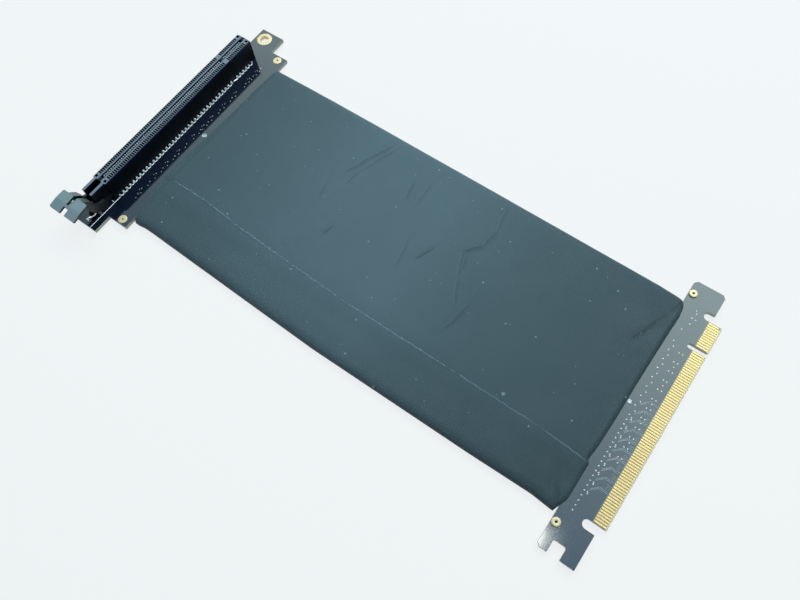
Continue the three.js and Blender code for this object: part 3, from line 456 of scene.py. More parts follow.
def make_plain_grain(name, light, dark, rough, metallic=0.0, scale=3000.0):
    """A material with grain and broad patches between two tones"""
    material, shading, shader, position = new_material(name)
    grain = shading.group(GROUPS["grain"], Vector=position, Grain_Scale=scale, Patch_Scale=scale / 12)
    tone = shading.mix(shading.ramp(grain["Patches"], 0.35, 0.65), (*light, 1), (*dark, 1))
    shading.feed(shader.inputs["Base Color"], tone)
    shading.feed(shader.inputs["Roughness"], shading.ramp(grain["Patches"], 0.3, 0.7, rough[0], rough[1]))
    shading.feed(shader.inputs["Normal"], shading.bump(grain["Height"], 0.15, 0.00002))
    shader.inputs["Metallic"].default_value = metallic
    return material


GROUPS = {}
FINISH = {}


def make_finishes(colours):
    GROUPS["grain"] = make_grain_group()
    GROUPS["specks"] = make_speck_group()
    GROUPS["weave"] = make_weave_group()
    GROUPS["line"] = make_line_group()
    gold = tuple(colours.gold)
    FINISH["cloth"] = make_cloth_material(colours)
    FINISH["socket_mask"] = make_board_material("socket_board_mask", colours, (0.6, 0.61, 0.6), False)
    FINISH["plug_mask"] = make_board_material("plug_board_mask", colours, gold, True)
    FINISH["moulding"] = make_moulding_material(colours)
    FINISH["latch"] = make_latch_material(colours)
    FINISH["gold"] = make_plain_grain("gold_plating", (0.85, 0.64, 0.37), (0.78, 0.57, 0.32), (0.3, 0.42), 0.2)
    tin = (0.42, 0.43, 0.42)
    FINISH["tin"] = make_plain_grain("solder_tin", tin, [0.75 * c for c in tin], (0.2, 0.35), 0.5)
    # The solder drops are painted near-white and barely metallic: a painted highlight for bright tin
    FINISH["solder"] = make_plain_grain("solder_drop", (0.95, 0.96, 0.95), (0.85, 0.86, 0.86), (0.2, 0.3), 0.1)
    FINISH["silk"] = make_plain_grain("white_print", (0.93, 0.95, 0.97), (0.85, 0.87, 0.9), (0.5, 0.6))
    # The print also glows a little: painted light that keeps it bright where the latch shades it
    shader = FINISH["silk"].node_tree.nodes["Principled BSDF"]
    shader.inputs["Emission Color"].default_value = (0.9, 0.93, 0.95, 1)
    shader.inputs["Emission Strength"].default_value = 0.4
    FINISH["spring"] = make_plain_grain("contact_spring", (0.8, 0.77, 0.84), (0.6, 0.58, 0.66), (0.25, 0.35), 0.1)
    copper = (0.55, 0.42, 0.41)
    FINISH["copper"] = make_plain_grain("via_copper", copper, (0.55, 0.48, 0.47), (0.3, 0.45), 0.2)
    FINISH["track"] = make_plain_grain("masked_track", (0.27, 0.29, 0.29), (0.18, 0.2, 0.21), (0.1, 0.2))
    FINISH["ribbon"] = make_plain_grain("ribbon_jacket", (0.06, 0.065, 0.07), (0.045, 0.05, 0.055), (0.4, 0.5))
    FINISH["tape"] = make_plain_grain("matt_tape", (0.02, 0.021, 0.023), (0.014, 0.015, 0.017), (0.5, 0.65))
    FINISH["lint"] = make_plain_grain("pale_lint", (0.5, 0.56, 0.57), (0.35, 0.4, 0.42), (0.8, 0.9))


# The sleeve's measured outline, in millimetres
UPPER_EDGE = [(-92.7, 46.75), (-81, 46.85), (-65, 47.05), (-10, 46.65), (66, 45.95), (92, 45.75), (99.7, 45.35), (101.6, 45.0)]
LOWER_EDGE = [(-93.1, -45.9), (-90, -45.45), (-86, -45.45), (-55, -46.15), (0, -47.3), (69, -46.35), (93, -45.65), (101.4, -46.2)]
SOCKET_END_UPPER = [
    (-30.35, -97.4), (-13.95, -97.6), (-6.65, -97.1), (2.75, -96.3), (17.05, -95.7), (32.15, -95.5),
    (40.35, -94.9), (43.35, -94.6), (45.05, -93.9), (46.75, -92.7),
]
SOCKET_END_LOWER = [(-46.0, -93.1), (-42.45, -94.0), (-38.85, -94.8), (-30.85, -95.6), (-29.9, -97.4)]
PLUG_END_UPPER = [
    (-25.95, 102.1), (-19.4, 102.75), (-9.2, 103.0), (2.85, 103.0), (9.35, 103.05), (22.4, 103.25),
    (30.35, 103.4), (37.75, 103.65), (42.1, 103.15), (43.6, 102.6), (45.15, 101.8),
]
PLUG_END_LOWER = [
    (-46.1, 101.0), (-43.65, 101.9), (-40.6, 103.0), (-37.4, 103.1), (-28.5, 103.05), (-26.3, 103.1), (-25.8, 101.8),
]
SEAM = [
    (-92.6, -22.8), (-74.9, -22.5), (-56.5, -24.1), (-27.8, -25.2), (-2.5, -26.1), (46.7, -25.65), (83.7, -25.35),
    (102.7, -26.45),
]
CREASES = [
    ([(-26.8, 41.85), (-31.5, 31), (-35.6, 19.95)], 0.5, 1.3, 0.5),
    ([(-39.0, 11.75), (-37.8, 5.05)], 0.4, 1.2, 0.4),
    ([(-29.2, -0.95), (-29.6, -3.75)], -0.45, 1.2, -0.3),
    ([(-9.7, 31.65), (-7.7, 23.05)], 0.4, 1.3, 0.4),
    ([(6.8, 12.25), (5.2, 6.45)], -0.5, 1.3, -0.4),
    ([(28.1, 41.05), (30.0, 31), (29.1, 22.45), (24.1, 16.55), (28.5, 6), (34.1, -4.85)], 0.55, 1.5, 0.5),
    ([(38.0, -0.75), (37.2, -8), (35.7, -14.35)], 0.5, 1.4, 0.5),
    ([(103.4, 45.4), (100.6, 37.65), (95.7, 21.25)], -0.7, 1.7, -0.2),
    ([(102.4, 41.5), (99.2, 33), (93.0, 23.25)], 0.5, 1.5, 0.3),
    ([(101.0, -46.35), (96.5, -38.75), (93, -30)], -0.8, 1.5, 0.2),
    ([(101.4, -41.5), (98.4, -36.75)], 0.5, 1.3, 0.2),
    ([(-52, -42), (-38, -30)], 0.15, 3.0, 0.2),
    ([(-70, 44), (-62, 20)], 0.15, 3.0, 0.2),
]
# Crease paths that get a painted highlight line and a painted shade beside it
HIGHLIT_CREASES = [path for path, height, width, lean in CREASES[:7] if height > 0]
HIGHLIT_CREASES += [
    [(-24.2, 42.6), (-31.4, 22.9), (-32.3, 15.6)],
    [(-3.3, 34.3), (-2.6, 23.5)],
    [(3.6, 9.2), (6.2, -3.5)],
    [(25.9, 15.7), (28.2, 9.1)],
]
# Crease and gather paths that get a dark painted line and painted shade
SHADED_CREASES = [
    [(-24.7, -7.7), (-23.8, -3.3)],
    [(11.3, 2.9), (14.7, 11.5)],
    [(102.3, 45.3), (99.5, 37.0), (96.0, 27.0), (93.0, 20.0)],
    [(101.8, -44.5), (99.5, -39.5)],
    [(100.3, -44.5), (98.5, -41.0)],
]
TUCK_ROWS, LOWER_ROWS, FOLD_ROWS, BOTTOM_ROWS, UPPER_ROWS = 4, 22, 8, 26, 78
ROW_TOTAL = TUCK_ROWS + LOWER_ROWS + FOLD_ROWS + BOTTOM_ROWS + FOLD_ROWS + UPPER_ROWS


def along(table, x):
    xs, ys = zip(*table)
    return np.interp(x, xs, ys)


def smooth(x, low, high):
    t = np.clip((x - low) / (high - low), 0, 1)
    return t * t * (3 - 2 * t)


def crease_height(x, y, path, height, width, lean):
    """A ridge, or a furrow where height is negative, that leans to one side of its path"""
    best = np.full(x.shape, 1e9)
    side = np.zeros(x.shape)
    fade = np.zeros(x.shape)
    lengths = [math.dist(a, b) for a, b in zip(path, path[1:])]
    done = 0.0
    for (ax, ay), (bx, by), length in zip(path, path[1:], lengths):
        ux, uy = (bx - ax) / length, (by - ay) / length
        t = np.clip((x - ax) * ux + (y - ay) * uy, 0, length)
        dx, dy = x - ax - t * ux, y - ay - t * uy
        distance = np.hypot(dx, dy)
        nearer = distance < best
        best = np.where(nearer, distance, best)
        side = np.where(nearer, np.sign(dx * uy - dy * ux), side)
        share = (done + t) / sum(lengths)
        fade = np.where(nearer, np.sin(np.pi * np.clip(share, 0.04, 0.96)) ** 0.5, fade)
        done += length
    ridge = height * np.exp(-((best / width) ** 2))
    step = lean * side * (best / width) * np.exp(-((best / (2.2 * width)) ** 2))
    return 0.6 * fade * (ridge + step)


def end_rise(x, y):
    """0 at both ends of the sleeve, where the cloth rests on a board, and 1 over the flat cables"""
    plug_end = np.where(y > -26, along(PLUG_END_UPPER, y), along(PLUG_END_LOWER, y))
    return smooth(x, -95.4, -93.2) * smooth(plug_end - x, 0.05, 0.9)


def top_height(x, y, sizes):
    """Height of the cloth's upper face over the boards and the flat cables"""
    rise = end_rise(x, y)
    flat = BOARD_TOP + 0.5 + (sizes.top - BOARD_TOP - 0.5) * rise
    empty = smooth(-y, 27, 34) * rise
    height = flat - 0.45 * empty
    for path, crest, width, lean in CREASES:
        height = height + crease_height(x, y, path, crest, width, lean) * (0.35 + 0.65 * rise)
    waves = [0.22 * noise.noise(Vector((a / 24, b / 17, 0.3))) for a, b in zip(x.flat, y.flat)]
    ripples = [0.07 * noise.noise(Vector((a / 6, b / 9, 4.1))) for a, b in zip(x.flat, y.flat)]
    return height + (np.array(waves) + np.array(ripples)).reshape(x.shape) * rise


def sleeve_points(u, row, sizes):
    """Places of the wrapped sheet's points, from its tucked edge round the cable to its seam"""
    nominal_x = -95 + 197 * u
    high, low = along(UPPER_EDGE, nominal_x), along(LOWER_EDGE, nominal_x)
    seam = along(SEAM, nominal_x)
    fold = sizes.fold
    marks = np.cumsum([0, TUCK_ROWS, LOWER_ROWS, FOLD_ROWS, BOTTOM_ROWS, FOLD_ROWS, UPPER_ROWS])
    y = np.select(
        [row <= marks[1], row <= marks[2], row <= marks[3], row <= marks[4], row <= marks[5]],
        [
            seam + 5.5 - 5.5 * row / TUCK_ROWS,
            seam + (low + fold - seam) * (row - marks[1]) / LOWER_ROWS,
            low + fold - fold * np.sin(np.pi * (row - marks[2]) / FOLD_ROWS),
            low + fold + (high - low - 2 * fold) * (row - marks[3]) / BOTTOM_ROWS,
            high - fold + fold * np.sin(np.pi * (row - marks[4]) / FOLD_ROWS),
        ],
        high - fold + (seam - high + fold) * (row - marks[5]) / UPPER_ROWS,
    )
    upper_part = row > marks[4]
    start = np.where(upper_part, along(SOCKET_END_UPPER, y), along(SOCKET_END_LOWER, y))
    end = np.where(upper_part, along(PLUG_END_UPPER, y), along(PLUG_END_LOWER, y))
    on_bottom = (row > marks[3]) & (row <= marks[4])
    start = np.where(on_bottom, along(SOCKET_END_UPPER, np.abs(y)) + 0.4, start)
    end = np.where(on_bottom, along(PLUG_END_UPPER, np.abs(y)) - 0.4, end)
    x = start + (end - start) * u
    reach = np.minimum(high - y, y - low)
    top = top_height(x, y, sizes) - 0.6 * (1 - smooth(reach, 0.3, 3.5))
    rise = end_rise(x, y)
    bottom = (BOARD_BOTTOM - 0.4) * (1 - rise) + 0.25 * (1 - smooth(reach, 0.5, 4)) * rise
    middle, half = (top + bottom) / 2, (top - bottom) / 2
    low_turn = np.cos(np.pi * (row - marks[2]) / FOLD_ROWS)
    high_turn = -np.cos(np.pi * (row - marks[4]) / FOLD_ROWS)
    z = np.select(
        [row <= marks[1], row <= marks[2], row <= marks[3], row <= marks[4], row <= marks[5]],
        [top - sizes.overlap, top - sizes.overlap * smooth(y, -46, -24), middle + half * low_turn,
         bottom, middle + half * high_turn],
        top,
    )
    return x, y, z


class SleeveSizes(bpy.types.PropertyGroup):
    top: FloatProperty(name="Top", description="Height of the cloth over the flat cables, in mm", default=4.62)
    fold: FloatProperty(name="Fold", description="Reach of the round fold along each side, in mm", default=1.7)
    overlap: FloatProperty(name="Overlap", description="Step at the seam, in mm", default=0.12)
    thickness: FloatProperty(name="Thickness", description="Thickness of the cloth, in mm", default=0.17)
    columns: IntProperty(name="Columns", description="Faces along the cable", default=210)
    lint_count: IntProperty(name="Lint", description="Number of lint threads on the cloth", default=46)


class FinishColours(bpy.types.PropertyGroup):
    cloth_light: FloatVectorProperty(
        name="Cloth Light", description="Paler tone of the cloth", subtype="COLOR", default=(0.1, 0.152, 0.175))
    cloth_dark: FloatVectorProperty(
        name="Cloth Dark", description="Darker tone of the cloth", subtype="COLOR", default=(0.066, 0.108, 0.13))
    mask_light: FloatVectorProperty(
        name="Mask Light", description="Paler tone of the solder mask", subtype="COLOR", default=(0.006, 0.011, 0.026))
    mask_dark: FloatVectorProperty(
        name="Mask Dark", description="Darker tone of the solder mask", subtype="COLOR", default=(0.003, 0.007, 0.017))
    laminate: FloatVectorProperty(
        name="Laminate", description="Cut edge of the boards", subtype="COLOR", default=(0.42, 0.44, 0.38))
    tongue: FloatVectorProperty(
        name="Tongue", description="Bare laminate between the gold fingers", subtype="COLOR", default=(0.2, 0.14, 0.045))
    gold: FloatVectorProperty(
        name="Gold", description="Gold plating", subtype="COLOR", default=(0.78, 0.48, 0.17))
    moulding: FloatVectorProperty(
        name="Moulding", description="Socket moulding", subtype="COLOR", default=(0.005, 0.011, 0.075))
    # Painted shade for the inside of the windows, the slot and the lower moulding
    moulding_shade: FloatVectorProperty(
        name="Moulding Deep", description="Inside of the windows", subtype="COLOR", default=(0.001, 0.0015, 0.004))
    # Painted highlight on the socket's top
    rim: FloatVectorProperty(
        name="Rim", description="Painted highlight on the socket's top", subtype="COLOR", default=(0.2, 0.22, 0.245))
    # Painted light on the latch's upper faces, and the base of the painted shade on its sides
    latch: FloatVectorProperty(
        name="Latch", description="Painted light on the latch's pads", subtype="COLOR", default=(0.26, 0.315, 0.335))


class StageSettings(bpy.types.PropertyGroup):
    floor: FloatVectorProperty(
        name="Floor", description="Colour of the floor", subtype="COLOR", default=(0.09, 0.09, 0.087))
    floor_glow: FloatVectorProperty(
        name="Floor Glow", description="Even light of the floor", subtype="COLOR", default=(0.8, 0.82, 0.828))
    lens: FloatProperty(name="Lens", description="Focal length, in mm", default=30.729)
    near_light: FloatVectorProperty(
        name="Near Light", description="Colour of the panel's near edge", subtype="COLOR", default=(0.13, 0.22, 0.31))
    far_light: FloatVectorProperty(
        name="Far Light", description="Colour of the panel's far edge", subtype="COLOR", default=(0.8, 1.0, 0.97))
    panel_strength: FloatProperty(name="Panel", description="Radiance of the brightest part", default=7.0)
    panel_height: FloatProperty(
        name="Panel Height", description="Height of the light panel", default=0.7, unit="LENGTH")
    near_edge: FloatProperty(name="Near Edge", description="Panel's nearest edge", default=-0.12, unit="LENGTH")
    sky: FloatProperty(name="Sky", description="Strength of the even light", default=0.05)


class RISER_OT_sleeve(bpy.types.Operator):
    """Wrap the cloth sleeve round the flat cables, with its overlapped seam and its creases"""

    bl_idname = "riser.sleeve"
    bl_label = "Cloth Sleeve"

    def execute(self, context):
        sizes = context.scene.riser_sleeve
        bm = bmesh.new()
        bmesh.ops.create_grid(bm, x_segments=sizes.columns, y_segments=ROW_TOTAL, size=1.0)
        flat = np.array([vert.co for vert in bm.verts])
        u = (flat[:, 0] + 1) / 2
        row = np.round((flat[:, 1] + 1) / 2 * ROW_TOTAL)
        places = np.stack(sleeve_points(u, row, sizes), axis=1)
        for vert, place in zip(bm.verts, places):
            vert.co = place
        piece = new_piece("sleeve_cloth", bm, FINISH["cloth"], replaces=["cable_sleeve"])
        piece.data.shade_smooth()
        solid = piece.modifiers.new("cloth thickness", "SOLIDIFY")
        solid.thickness = sizes.thickness * MM
        solid.offset = -1
        piece.modifiers.new("flat edges", "WEIGHTED_NORMAL").weight = 100
        return {"FINISHED"}


def ring_profile(outer, hole, top, dome):
    """Half section of a plated ring, as (radius, z) points from its lower rim round to its upper rim"""
    return [
        (hole, RING_BOTTOM), (outer - 0.08, RING_BOTTOM), (outer, RING_BOTTOM + 0.05), (outer, BOARD_TOP),
        (outer, top - dome), (outer - 0.3 * dome - 0.06, top - 0.3 * dome), (outer - dome - 0.08, top),
        (hole + dome + 0.08, top), (hole + 0.3 * dome, top - 0.3 * dome), (hole, top - dome - 0.1),
    ]


def spin_ring(bm, x, y, profile, steps=40):
    verts = [bm.verts.new((x + radius, y, z)) for radius, z in profile]
    edges = [bm.edges.new(pair) for pair in zip(verts, verts[1:] + verts[:1])]
    bmesh.ops.spin(
        bm, geom=verts + edges, cent=(x, y, 0), axis=(0, 0, 1), angle=TAU, steps=steps, use_merge=True)


class RISER_OT_rings(bpy.types.Operator):
    """Turn the plated mounting ring and the eyelets of both boards, with rounded lips"""

    bl_idname = "riser.rings"
    bl_label = "Rings and Eyelets"

    def execute(self, context):
        rings = [
            ("mounting_ring", -111.3, 57.45, 3.5, 2.0, 3.22, 0.06, "gold"),
            ("socket_eyelet_top", -98.25, 51.05, 1.9, 0.4, 3.2, 0.05, "gold"),
            ("socket_eyelet_bottom", -98.25, -47.75, 1.9, 0.4, 3.2, 0.05, "gold"),
            ("socket_eyelet_middle", -98.25, 1.8, 1.15, 0.55, 3.25, 0.08, "tin"),
            ("plug_eyelet_top", 103.65, 49.3, 1.65, 0.4, 3.65, 0.22, "gold"),
            ("plug_eyelet_bottom", 103.65, -48.8, 1.65, 0.4, 3.65, 0.22, "gold"),
            ("plug_eyelet_middle", 103.9, 0.25, 0.85, 0.5, 3.2, 0.06, "tin"),
        ]
        for node, x, y, outer, hole, top, dome, finish in rings:
            bm = bmesh.new()
            spin_ring(bm, x, y, ring_profile(outer, hole, top, dome))
            piece = new_piece(f"{node}_turned", bm, FINISH[finish], replaces=[node])
            shade_smooth(piece, 50)
        # Each eyelet's hole gets a disc: solder fills the tin eyelets, and a black matt disc in each gold eyelet is
        # painted shade for its dark hole
        for metal, disc_finish in (("gold", "tape"), ("tin", "tin")):
            fill_and_shade_discs = bmesh.new()
            for node, x, y, outer, hole, top, dome, finish in rings[1:]:
                if finish == metal:
                    add_disc(fill_and_shade_discs, x, y, hole - 0.03, BOARD_BOTTOM, BOARD_TOP + 0.05, taper=1.0)
            new_piece(f"{metal}_eyelet_fill_and_shade", fill_and_shade_discs, FINISH[disc_finish])
        return {"FINISHED"}


def copy_with_soft_edges(node, name, material, body, width):
    """A copy of a moulded node with its edges rounded"""
    bm = bmesh.new()
    bm.from_mesh(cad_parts[node].data)
    bmesh.ops.remove_doubles(bm, verts=bm.verts, dist=1e-6)
    bmesh.ops.dissolve_limit(bm, angle_limit=math.radians(0.5), verts=bm.verts, edges=bm.edges)
    bmesh.ops.scale(bm, vec=(1 / MM, 1 / MM, 1 / MM), verts=bm.verts)
    piece = new_piece(name, bm, material, body=body, replaces=[node])
    bevel = piece.modifiers.new("soft edges", "BEVEL")
    bevel.width = width * MM
    bevel.segments = 2
    bevel.limit_method = "ANGLE"
    bevel.angle_limit = math.radians(25)
    bevel.harden_normals = False
    return piece


class RISER_OT_mouldings(bpy.types.Operator):
    """Give the latch its soft moulded edges, and the socket and boards their finishes"""

    bl_idname = "riser.mouldings"
    bl_label = "Mouldings and Boards"

    def execute(self, context):
        latch = copy_with_soft_edges("slot_latch", "slot_latch_moulded", FINISH["latch"], "latch", 0.14)
        shade_smooth(latch, 35)
        side_view = [
            (-57.8, 14.5), (-57.8, 12.6), (-54.6, 11.0), (-53.4, 7.0), (-51.5, 6.9), (-51.5, 7.7), (-52.6, 8.2),
            (-53.6, 13.2),
        ]
        web = bmesh.new()
        ring = [web.verts.new((SOCKET_X - 1.28, y, z)) for y, z in side_view]
        face = web.faces.new(ring)
        pulled = bmesh.ops.extrude_face_region(web, geom=[face])["geom"]
        moved = [item for item in pulled if isinstance(item, bmesh.types.BMVert)]
        bmesh.ops.translate(web, verts=moved, vec=(2.56, 0, 0))
        new_piece("latch_web", web, FINISH["latch"], body="latch")
        finishes = {"socket_housing": "moulding", "socket_board": "socket_mask", "plug_board": "plug_mask"}
        for side in ("upper", "lower"):
            finishes.update({f"ribbon_{side}_{i}": "ribbon" for i in range(1, 5)})
            finishes.update({f"socket_tape_{side}": "tape", f"plug_tape_{side}": "tape"})
        for node, finish in finishes.items():
            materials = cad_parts[node].data.materials
            materials.clear()
            materials.append(FINISH[finish])
        return {"FINISHED"}


def mitred(points, width):
    """Left and right sides of a strip along a path"""
    sides = []
    for i, (x, y) in enumerate(points):
        before, after = points[max(i - 1, 0)], points[min(i + 1, len(points) - 1)]
        into = Vector((x - before[0], y - before[1]))
        out = Vector((after[0] - x, after[1] - y))
        into = into if into.length else out
        out = out if out.length else into
        direction = (into.normalized() + out.normalized()).normalized()
        across = Vector((-direction.y, direction.x))
        reach = width / 2 / max(0.5, across.dot(Vector((-into.y, into.x)).normalized()))
        sides.append(((x + across.x * reach, y + across.y * reach), (x - across.x * reach, y - across.y * reach)))
    return sides


def lay_strip(bm, points, width, low, high):
    """A flat strip that follows a path of (x, y) points, from one height to another"""
    sides = mitred(points, width)
    left, right = (bm.verts.new((*side, low)) for side in sides[0])
    edge = bm.edges.new((left, right))
    faces = []
    for new_left, new_right in sides[1:]:
        made = bmesh.ops.extrude_edge_only(bm, edges=[edge])["geom"]
        verts = [item for item in made if isinstance(item, bmesh.types.BMVert)]
        faces += [item for item in made if isinstance(item, bmesh.types.BMFace)]
        verts.sort(key=lambda vert: (vert.co - left.co).length)
        left, right = verts
        left.co, right.co = (*new_left, low), (*new_right, low)
        edge = bm.edges.get((left, right))
    raised = bmesh.ops.extrude_face_region(bm, geom=faces)["geom"]
    for item in raised:
        if isinstance(item, bmesh.types.BMVert):
            item.co.z = high


def add_disc(bm, x, y, radius, low, high, segments=12, taper=0.85):
    place = Matrix.Translation((x, y, (low + high) / 2))
    bmesh.ops.create_cone(
        bm, cap_ends=True, segments=segments, radius1=radius, radius2=radius * taper,
        depth=high - low, matrix=place)


def add_dome(bm, x, y, z, reach_x, reach_y, height):
    """A rounded drop of solder on a face"""
    place = Matrix.Translation((x, y, z)) @ Matrix.Diagonal((reach_x, reach_y, height, 1))
    bmesh.ops.create_icosphere(bm, subdivisions=2, radius=1.0, matrix=place)


class RISER_OT_solder(bpy.types.Operator):
    """Set the solder drops beside the socket and under its board, and the springs' tips in its slot"""

    bl_idname = "riser.solder"
    bl_label = "Solder and Springs"

    def execute(self, context):
        draw = random.Random(3)
        top = bmesh.new()
        for index, y in enumerate(CONTACT_Y):
            side = 1 if index % 2 == 0 else -1
            clear = abs(y - SOCKET_KEY_Y) > 1.3 and abs(y + 1.15) < 41.7
            if clear:
                reach = 0.66 + 0.12 * draw.random()
                lift = 1.0 + 0.3 * draw.random()
                add_dome(top, SOCKET_X + side * 4.15, y, BOARD_TOP, reach, 0.62, lift)
        add_dome(top, SOCKET_X + 3.95, -40.15, BOARD_TOP, 0.5, 0.42, 0.9)
        new_piece("socket_solder", top, FINISH["solder"]).data.shade_smooth()
        under = bmesh.new()
        for index, y in enumerate(CONTACT_Y):
            for side in (1, -1):
                x = SOCKET_X + side * (3.25 if index % 2 == 0 else 1.25)
                add_dome(under, x, y, BOARD_BOTTOM, 0.42, 0.42, 0.55 + 0.1 * draw.random())
        new_piece("socket_pin_solder", under, FINISH["tin"]).data.shade_smooth()
        springs = bmesh.new()
        for y in CONTACT_Y:
            for side in (1, -1):
                x = SOCKET_X + side * 0.66
                place = Matrix.Translation((x, y, SOCKET_TOP - 1.15)) @ Matrix.Diagonal((0.5, 0.64, 0.5, 1))
                made = bmesh.ops.create_cube(springs, size=1.0, matrix=place)
                edges = list({edge for vert in made["verts"] for edge in vert.link_edges})
                bmesh.ops.bevel(springs, geom=edges, offset=0.08, segments=1, profile=0.5, affect="EDGES", material=-1)
        new_piece("contact_springs", springs, FINISH["spring"])
        return {"FINISHED"}


class RISER_OT_print(bpy.types.Operator):
    """Lay the white printed lines of the socket board: scallops, rule, tick and a bent arrow"""

    bl_idname = "riser.print"
    bl_label = "White Print"

    def execute(self, context):
        bm = bmesh.new()
        low, high = BOARD_TOP - 0.01, BOARD_TOP + 0.02
        outer_row = [y for i, y in enumerate(CONTACT_Y) if i % 2 == 0]
        for y in outer_row:
            arc = [math.radians(a) for a in range(-80, 65, 20)]
            points = [(SOCKET_X + 3.9 + 0.85 * math.cos(a), y - 1.05 + 0.85 * math.sin(a)) for a in arc]
            lay_strip(bm, points, 0.32, low, high)
        lay_strip(bm, [(-107.1, 31.2), (-106.9, 33.2)], 0.42, low, high)
        lay_strip(bm, [(-106.75, -58.1), (-106.75, -40.6)], 0.26, low, high)
        lay_strip(bm, [(-108.4, -43.9), (-107.2, -43.9)], 0.2, low, high)
        bend = [(-109.6, -51.95), (-109.45, -53.0), (-109.7, -54.1), (-110.5, -55.2)]
        lay_strip(bm, bend, 0.5, low, high)
        lay_strip(bm, [(-110.2, -54.2), (-110.9, -56.0), (-109.6, -56.1)], 0.5, low, high)
        new_piece("socket_print", bm, FINISH["silk"])
        return {"FINISHED"}


SOCKET_VIA_Y = [
    43.5, 41.6, 38.2, 36.5, 33.2, 27.2, 23.9, 19.5, 15.9, 11.6, 8.2, 5.9, 3.35, -0.24, -5.6, -9.7, -13, -16.8,
    -20.3, -23.9, -28.3, -32.7, -35.5,
]


def via_places():
    """Plated holes of the plug board, as measured: two staggered rows and two inner columns"""
    places = [(106.05, -5.92 - 1.92 * i) for i in range(20)]
    places += [(106.05 + 0.9 * (i % 2), 28.9 - 2.05 * i) for i in range(17)]
    places += [(107.15 + 0.15 * (i % 2), -4.6 - 3.75 * i) for i in range(9)]
    places += [(107.4, -5.2 - 3.75 * i) for i in range(9)]
    for i in range(12):
        y = 25.7 - 4.05 * i
        places += [(109.75, y), (111.15, y + 0.05)]
        if i % 2:
            places += [(110.6, y - 1.9)]
    places += [(107.6, 43.85), (108.2, 42.6), (107.5, 40.3), (108.9, 40.15), (107.86, 37.8), (106.4, 34.4)]
    return places


class RISER_OT_vias(bpy.types.Operator):
    """Set the plated holes and small pads of both boards"""

    bl_idname = "riser.vias"
    bl_label = "Plated Holes"

    def execute(self, context):
        plug = bmesh.new()
        low, high = BOARD_TOP - 0.01, BOARD_TOP + 0.035
        for x, y in via_places():
            add_disc(plug, x, y, 0.3, low, high)
            add_disc(plug, x, y, 0.3, BOARD_BOTTOM - 0.035, BOARD_BOTTOM + 0.01, taper=1.0)
        new_piece("plug_vias", plug, FINISH["copper"])
        socket = bmesh.new()
        draw = random.Random(11)
        for index, y in enumerate(SOCKET_VIA_Y):
            add_disc(socket, -101.7 - 0.5 * (index % 2), y, 0.27, low, high, 8)
            if index % 2:
                add_disc(socket, -102.8 + 0.3 * draw.random(), y - 0.9, 0.2, low, high, 8)
            add_disc(socket, -101.0, y - 1.6 - 0.4 * draw.random(), 0.24, low, high, 8)
        new_piece("socket_vias", socket, FINISH["copper"])
        return {"FINISHED"}


class RISER_OT_tracks(bpy.types.Operator):
    """Lay the bent pairs of tracks that run to the plug's fingers"""

    bl_idname = "riser.tracks"
    bl_label = "Tracks"

    def execute(self, context):
        bm = bmesh.new()
        low, high = BOARD_TOP - 0.01, BOARD_TOP + 0.025
        for i in range(10):
            level = 3.5 - 3.9 * i
            for shift in (0.0, 0.55):
                start = (107.35, level - 2.3 + shift)
                lay_strip(bm, [start, (109.65, level + shift), (112.9, level + shift)], 0.2, low, high)
            if i < 9:
                for shift in (1.3, 1.95, 2.6):
                    lay_strip(bm, [(111.3, level - shift), (112.9, level - shift)], 0.15, low, high)
        new_piece("plug_tracks", bm, FINISH["track"])
        return {"FINISHED"}


class RISER_OT_lint(bpy.types.Operator):
    """Scatter pale lint over the cloth, and press the seam's edge down to the layer below"""

    bl_idname = "riser.lint"
    bl_label = "Lint and Hem"

    def execute(self, context):
        sizes = context.scene.riser_sleeve
        draw = random.Random(7)
        bm = bmesh.new()
        spots = []
        x = -91.0
        while x < 60:
            spots.append((x, float(along(SEAM, x)) + 0.15 * (draw.random() - 0.5), 0.3 + 0.5 * draw.random(), 0.1))
            x += 0.9 + 3.6 * draw.random() ** 2
        for _ in range(sizes.lint_count):
            spots.append((draw.uniform(-90, 98), draw.uniform(-42, 42), 0.16 + 0.3 * draw.random(), 2.0))
        xs, ys = np.array([s[0] for s in spots]), np.array([s[1] for s in spots])
        heights = top_height(xs, ys, sizes)
        for (x, y, length, spread), z in zip(spots, heights):
            turn = draw.uniform(-spread, spread)
            place = Matrix.Translation((x, y, z + 0.03)) @ Matrix.Rotation(turn, 4, "Z")
            place = place @ Matrix.Diagonal((0.75 * length, 0.1, 0.07, 1))
            bmesh.ops.create_icosphere(bm, subdivisions=1, radius=1.0, matrix=place)
        new_piece("sleeve_lint", bm, FINISH["lint"])
        hem = bmesh.new()
        hem_x = np.linspace(-97.0, 102.0, 160)
        seam_y = along(SEAM, hem_x)
        edge = top_height(hem_x, seam_y + 0.25, sizes)
        foot = top_height(hem_x, seam_y - 0.8, sizes) - sizes.overlap
        rows = []
        for x, y, high, low in zip(hem_x, seam_y, edge, foot):
            corners = [(x, y + 0.25, high + 0.012), (x, y - 0.8, low + 0.012), (x, y, low - 0.03)]
            rows.append([hem.verts.new(corner) for corner in corners])
        for first, second in zip(rows, rows[1:]):
            for i in range(3):
                j = (i + 1) % 3
                hem.faces.new((first[i], first[j], second[j], second[i]))
        hem.faces.new(rows[0])
        hem.faces.new(rows[-1][::-1])
        new_piece("sleeve_hem", hem, FINISH["cloth"])
        return {"FINISHED"}


PANEL_LEFT, PANEL_RIGHT, PANEL_DEPTH = -0.95, 0.35, 0.9

CAMERA_PLACE = (0.0867114, -0.0898649, 0.2370332)
CAMERA_RIGHT = Vector((0.8113, 0.58201, -0.05523))
CAMERA_DOWN = Vector((0.5152, -0.75641, -0.403))
CAMERA_FORWARD = Vector((-0.27633, 0.29851, -0.91353))


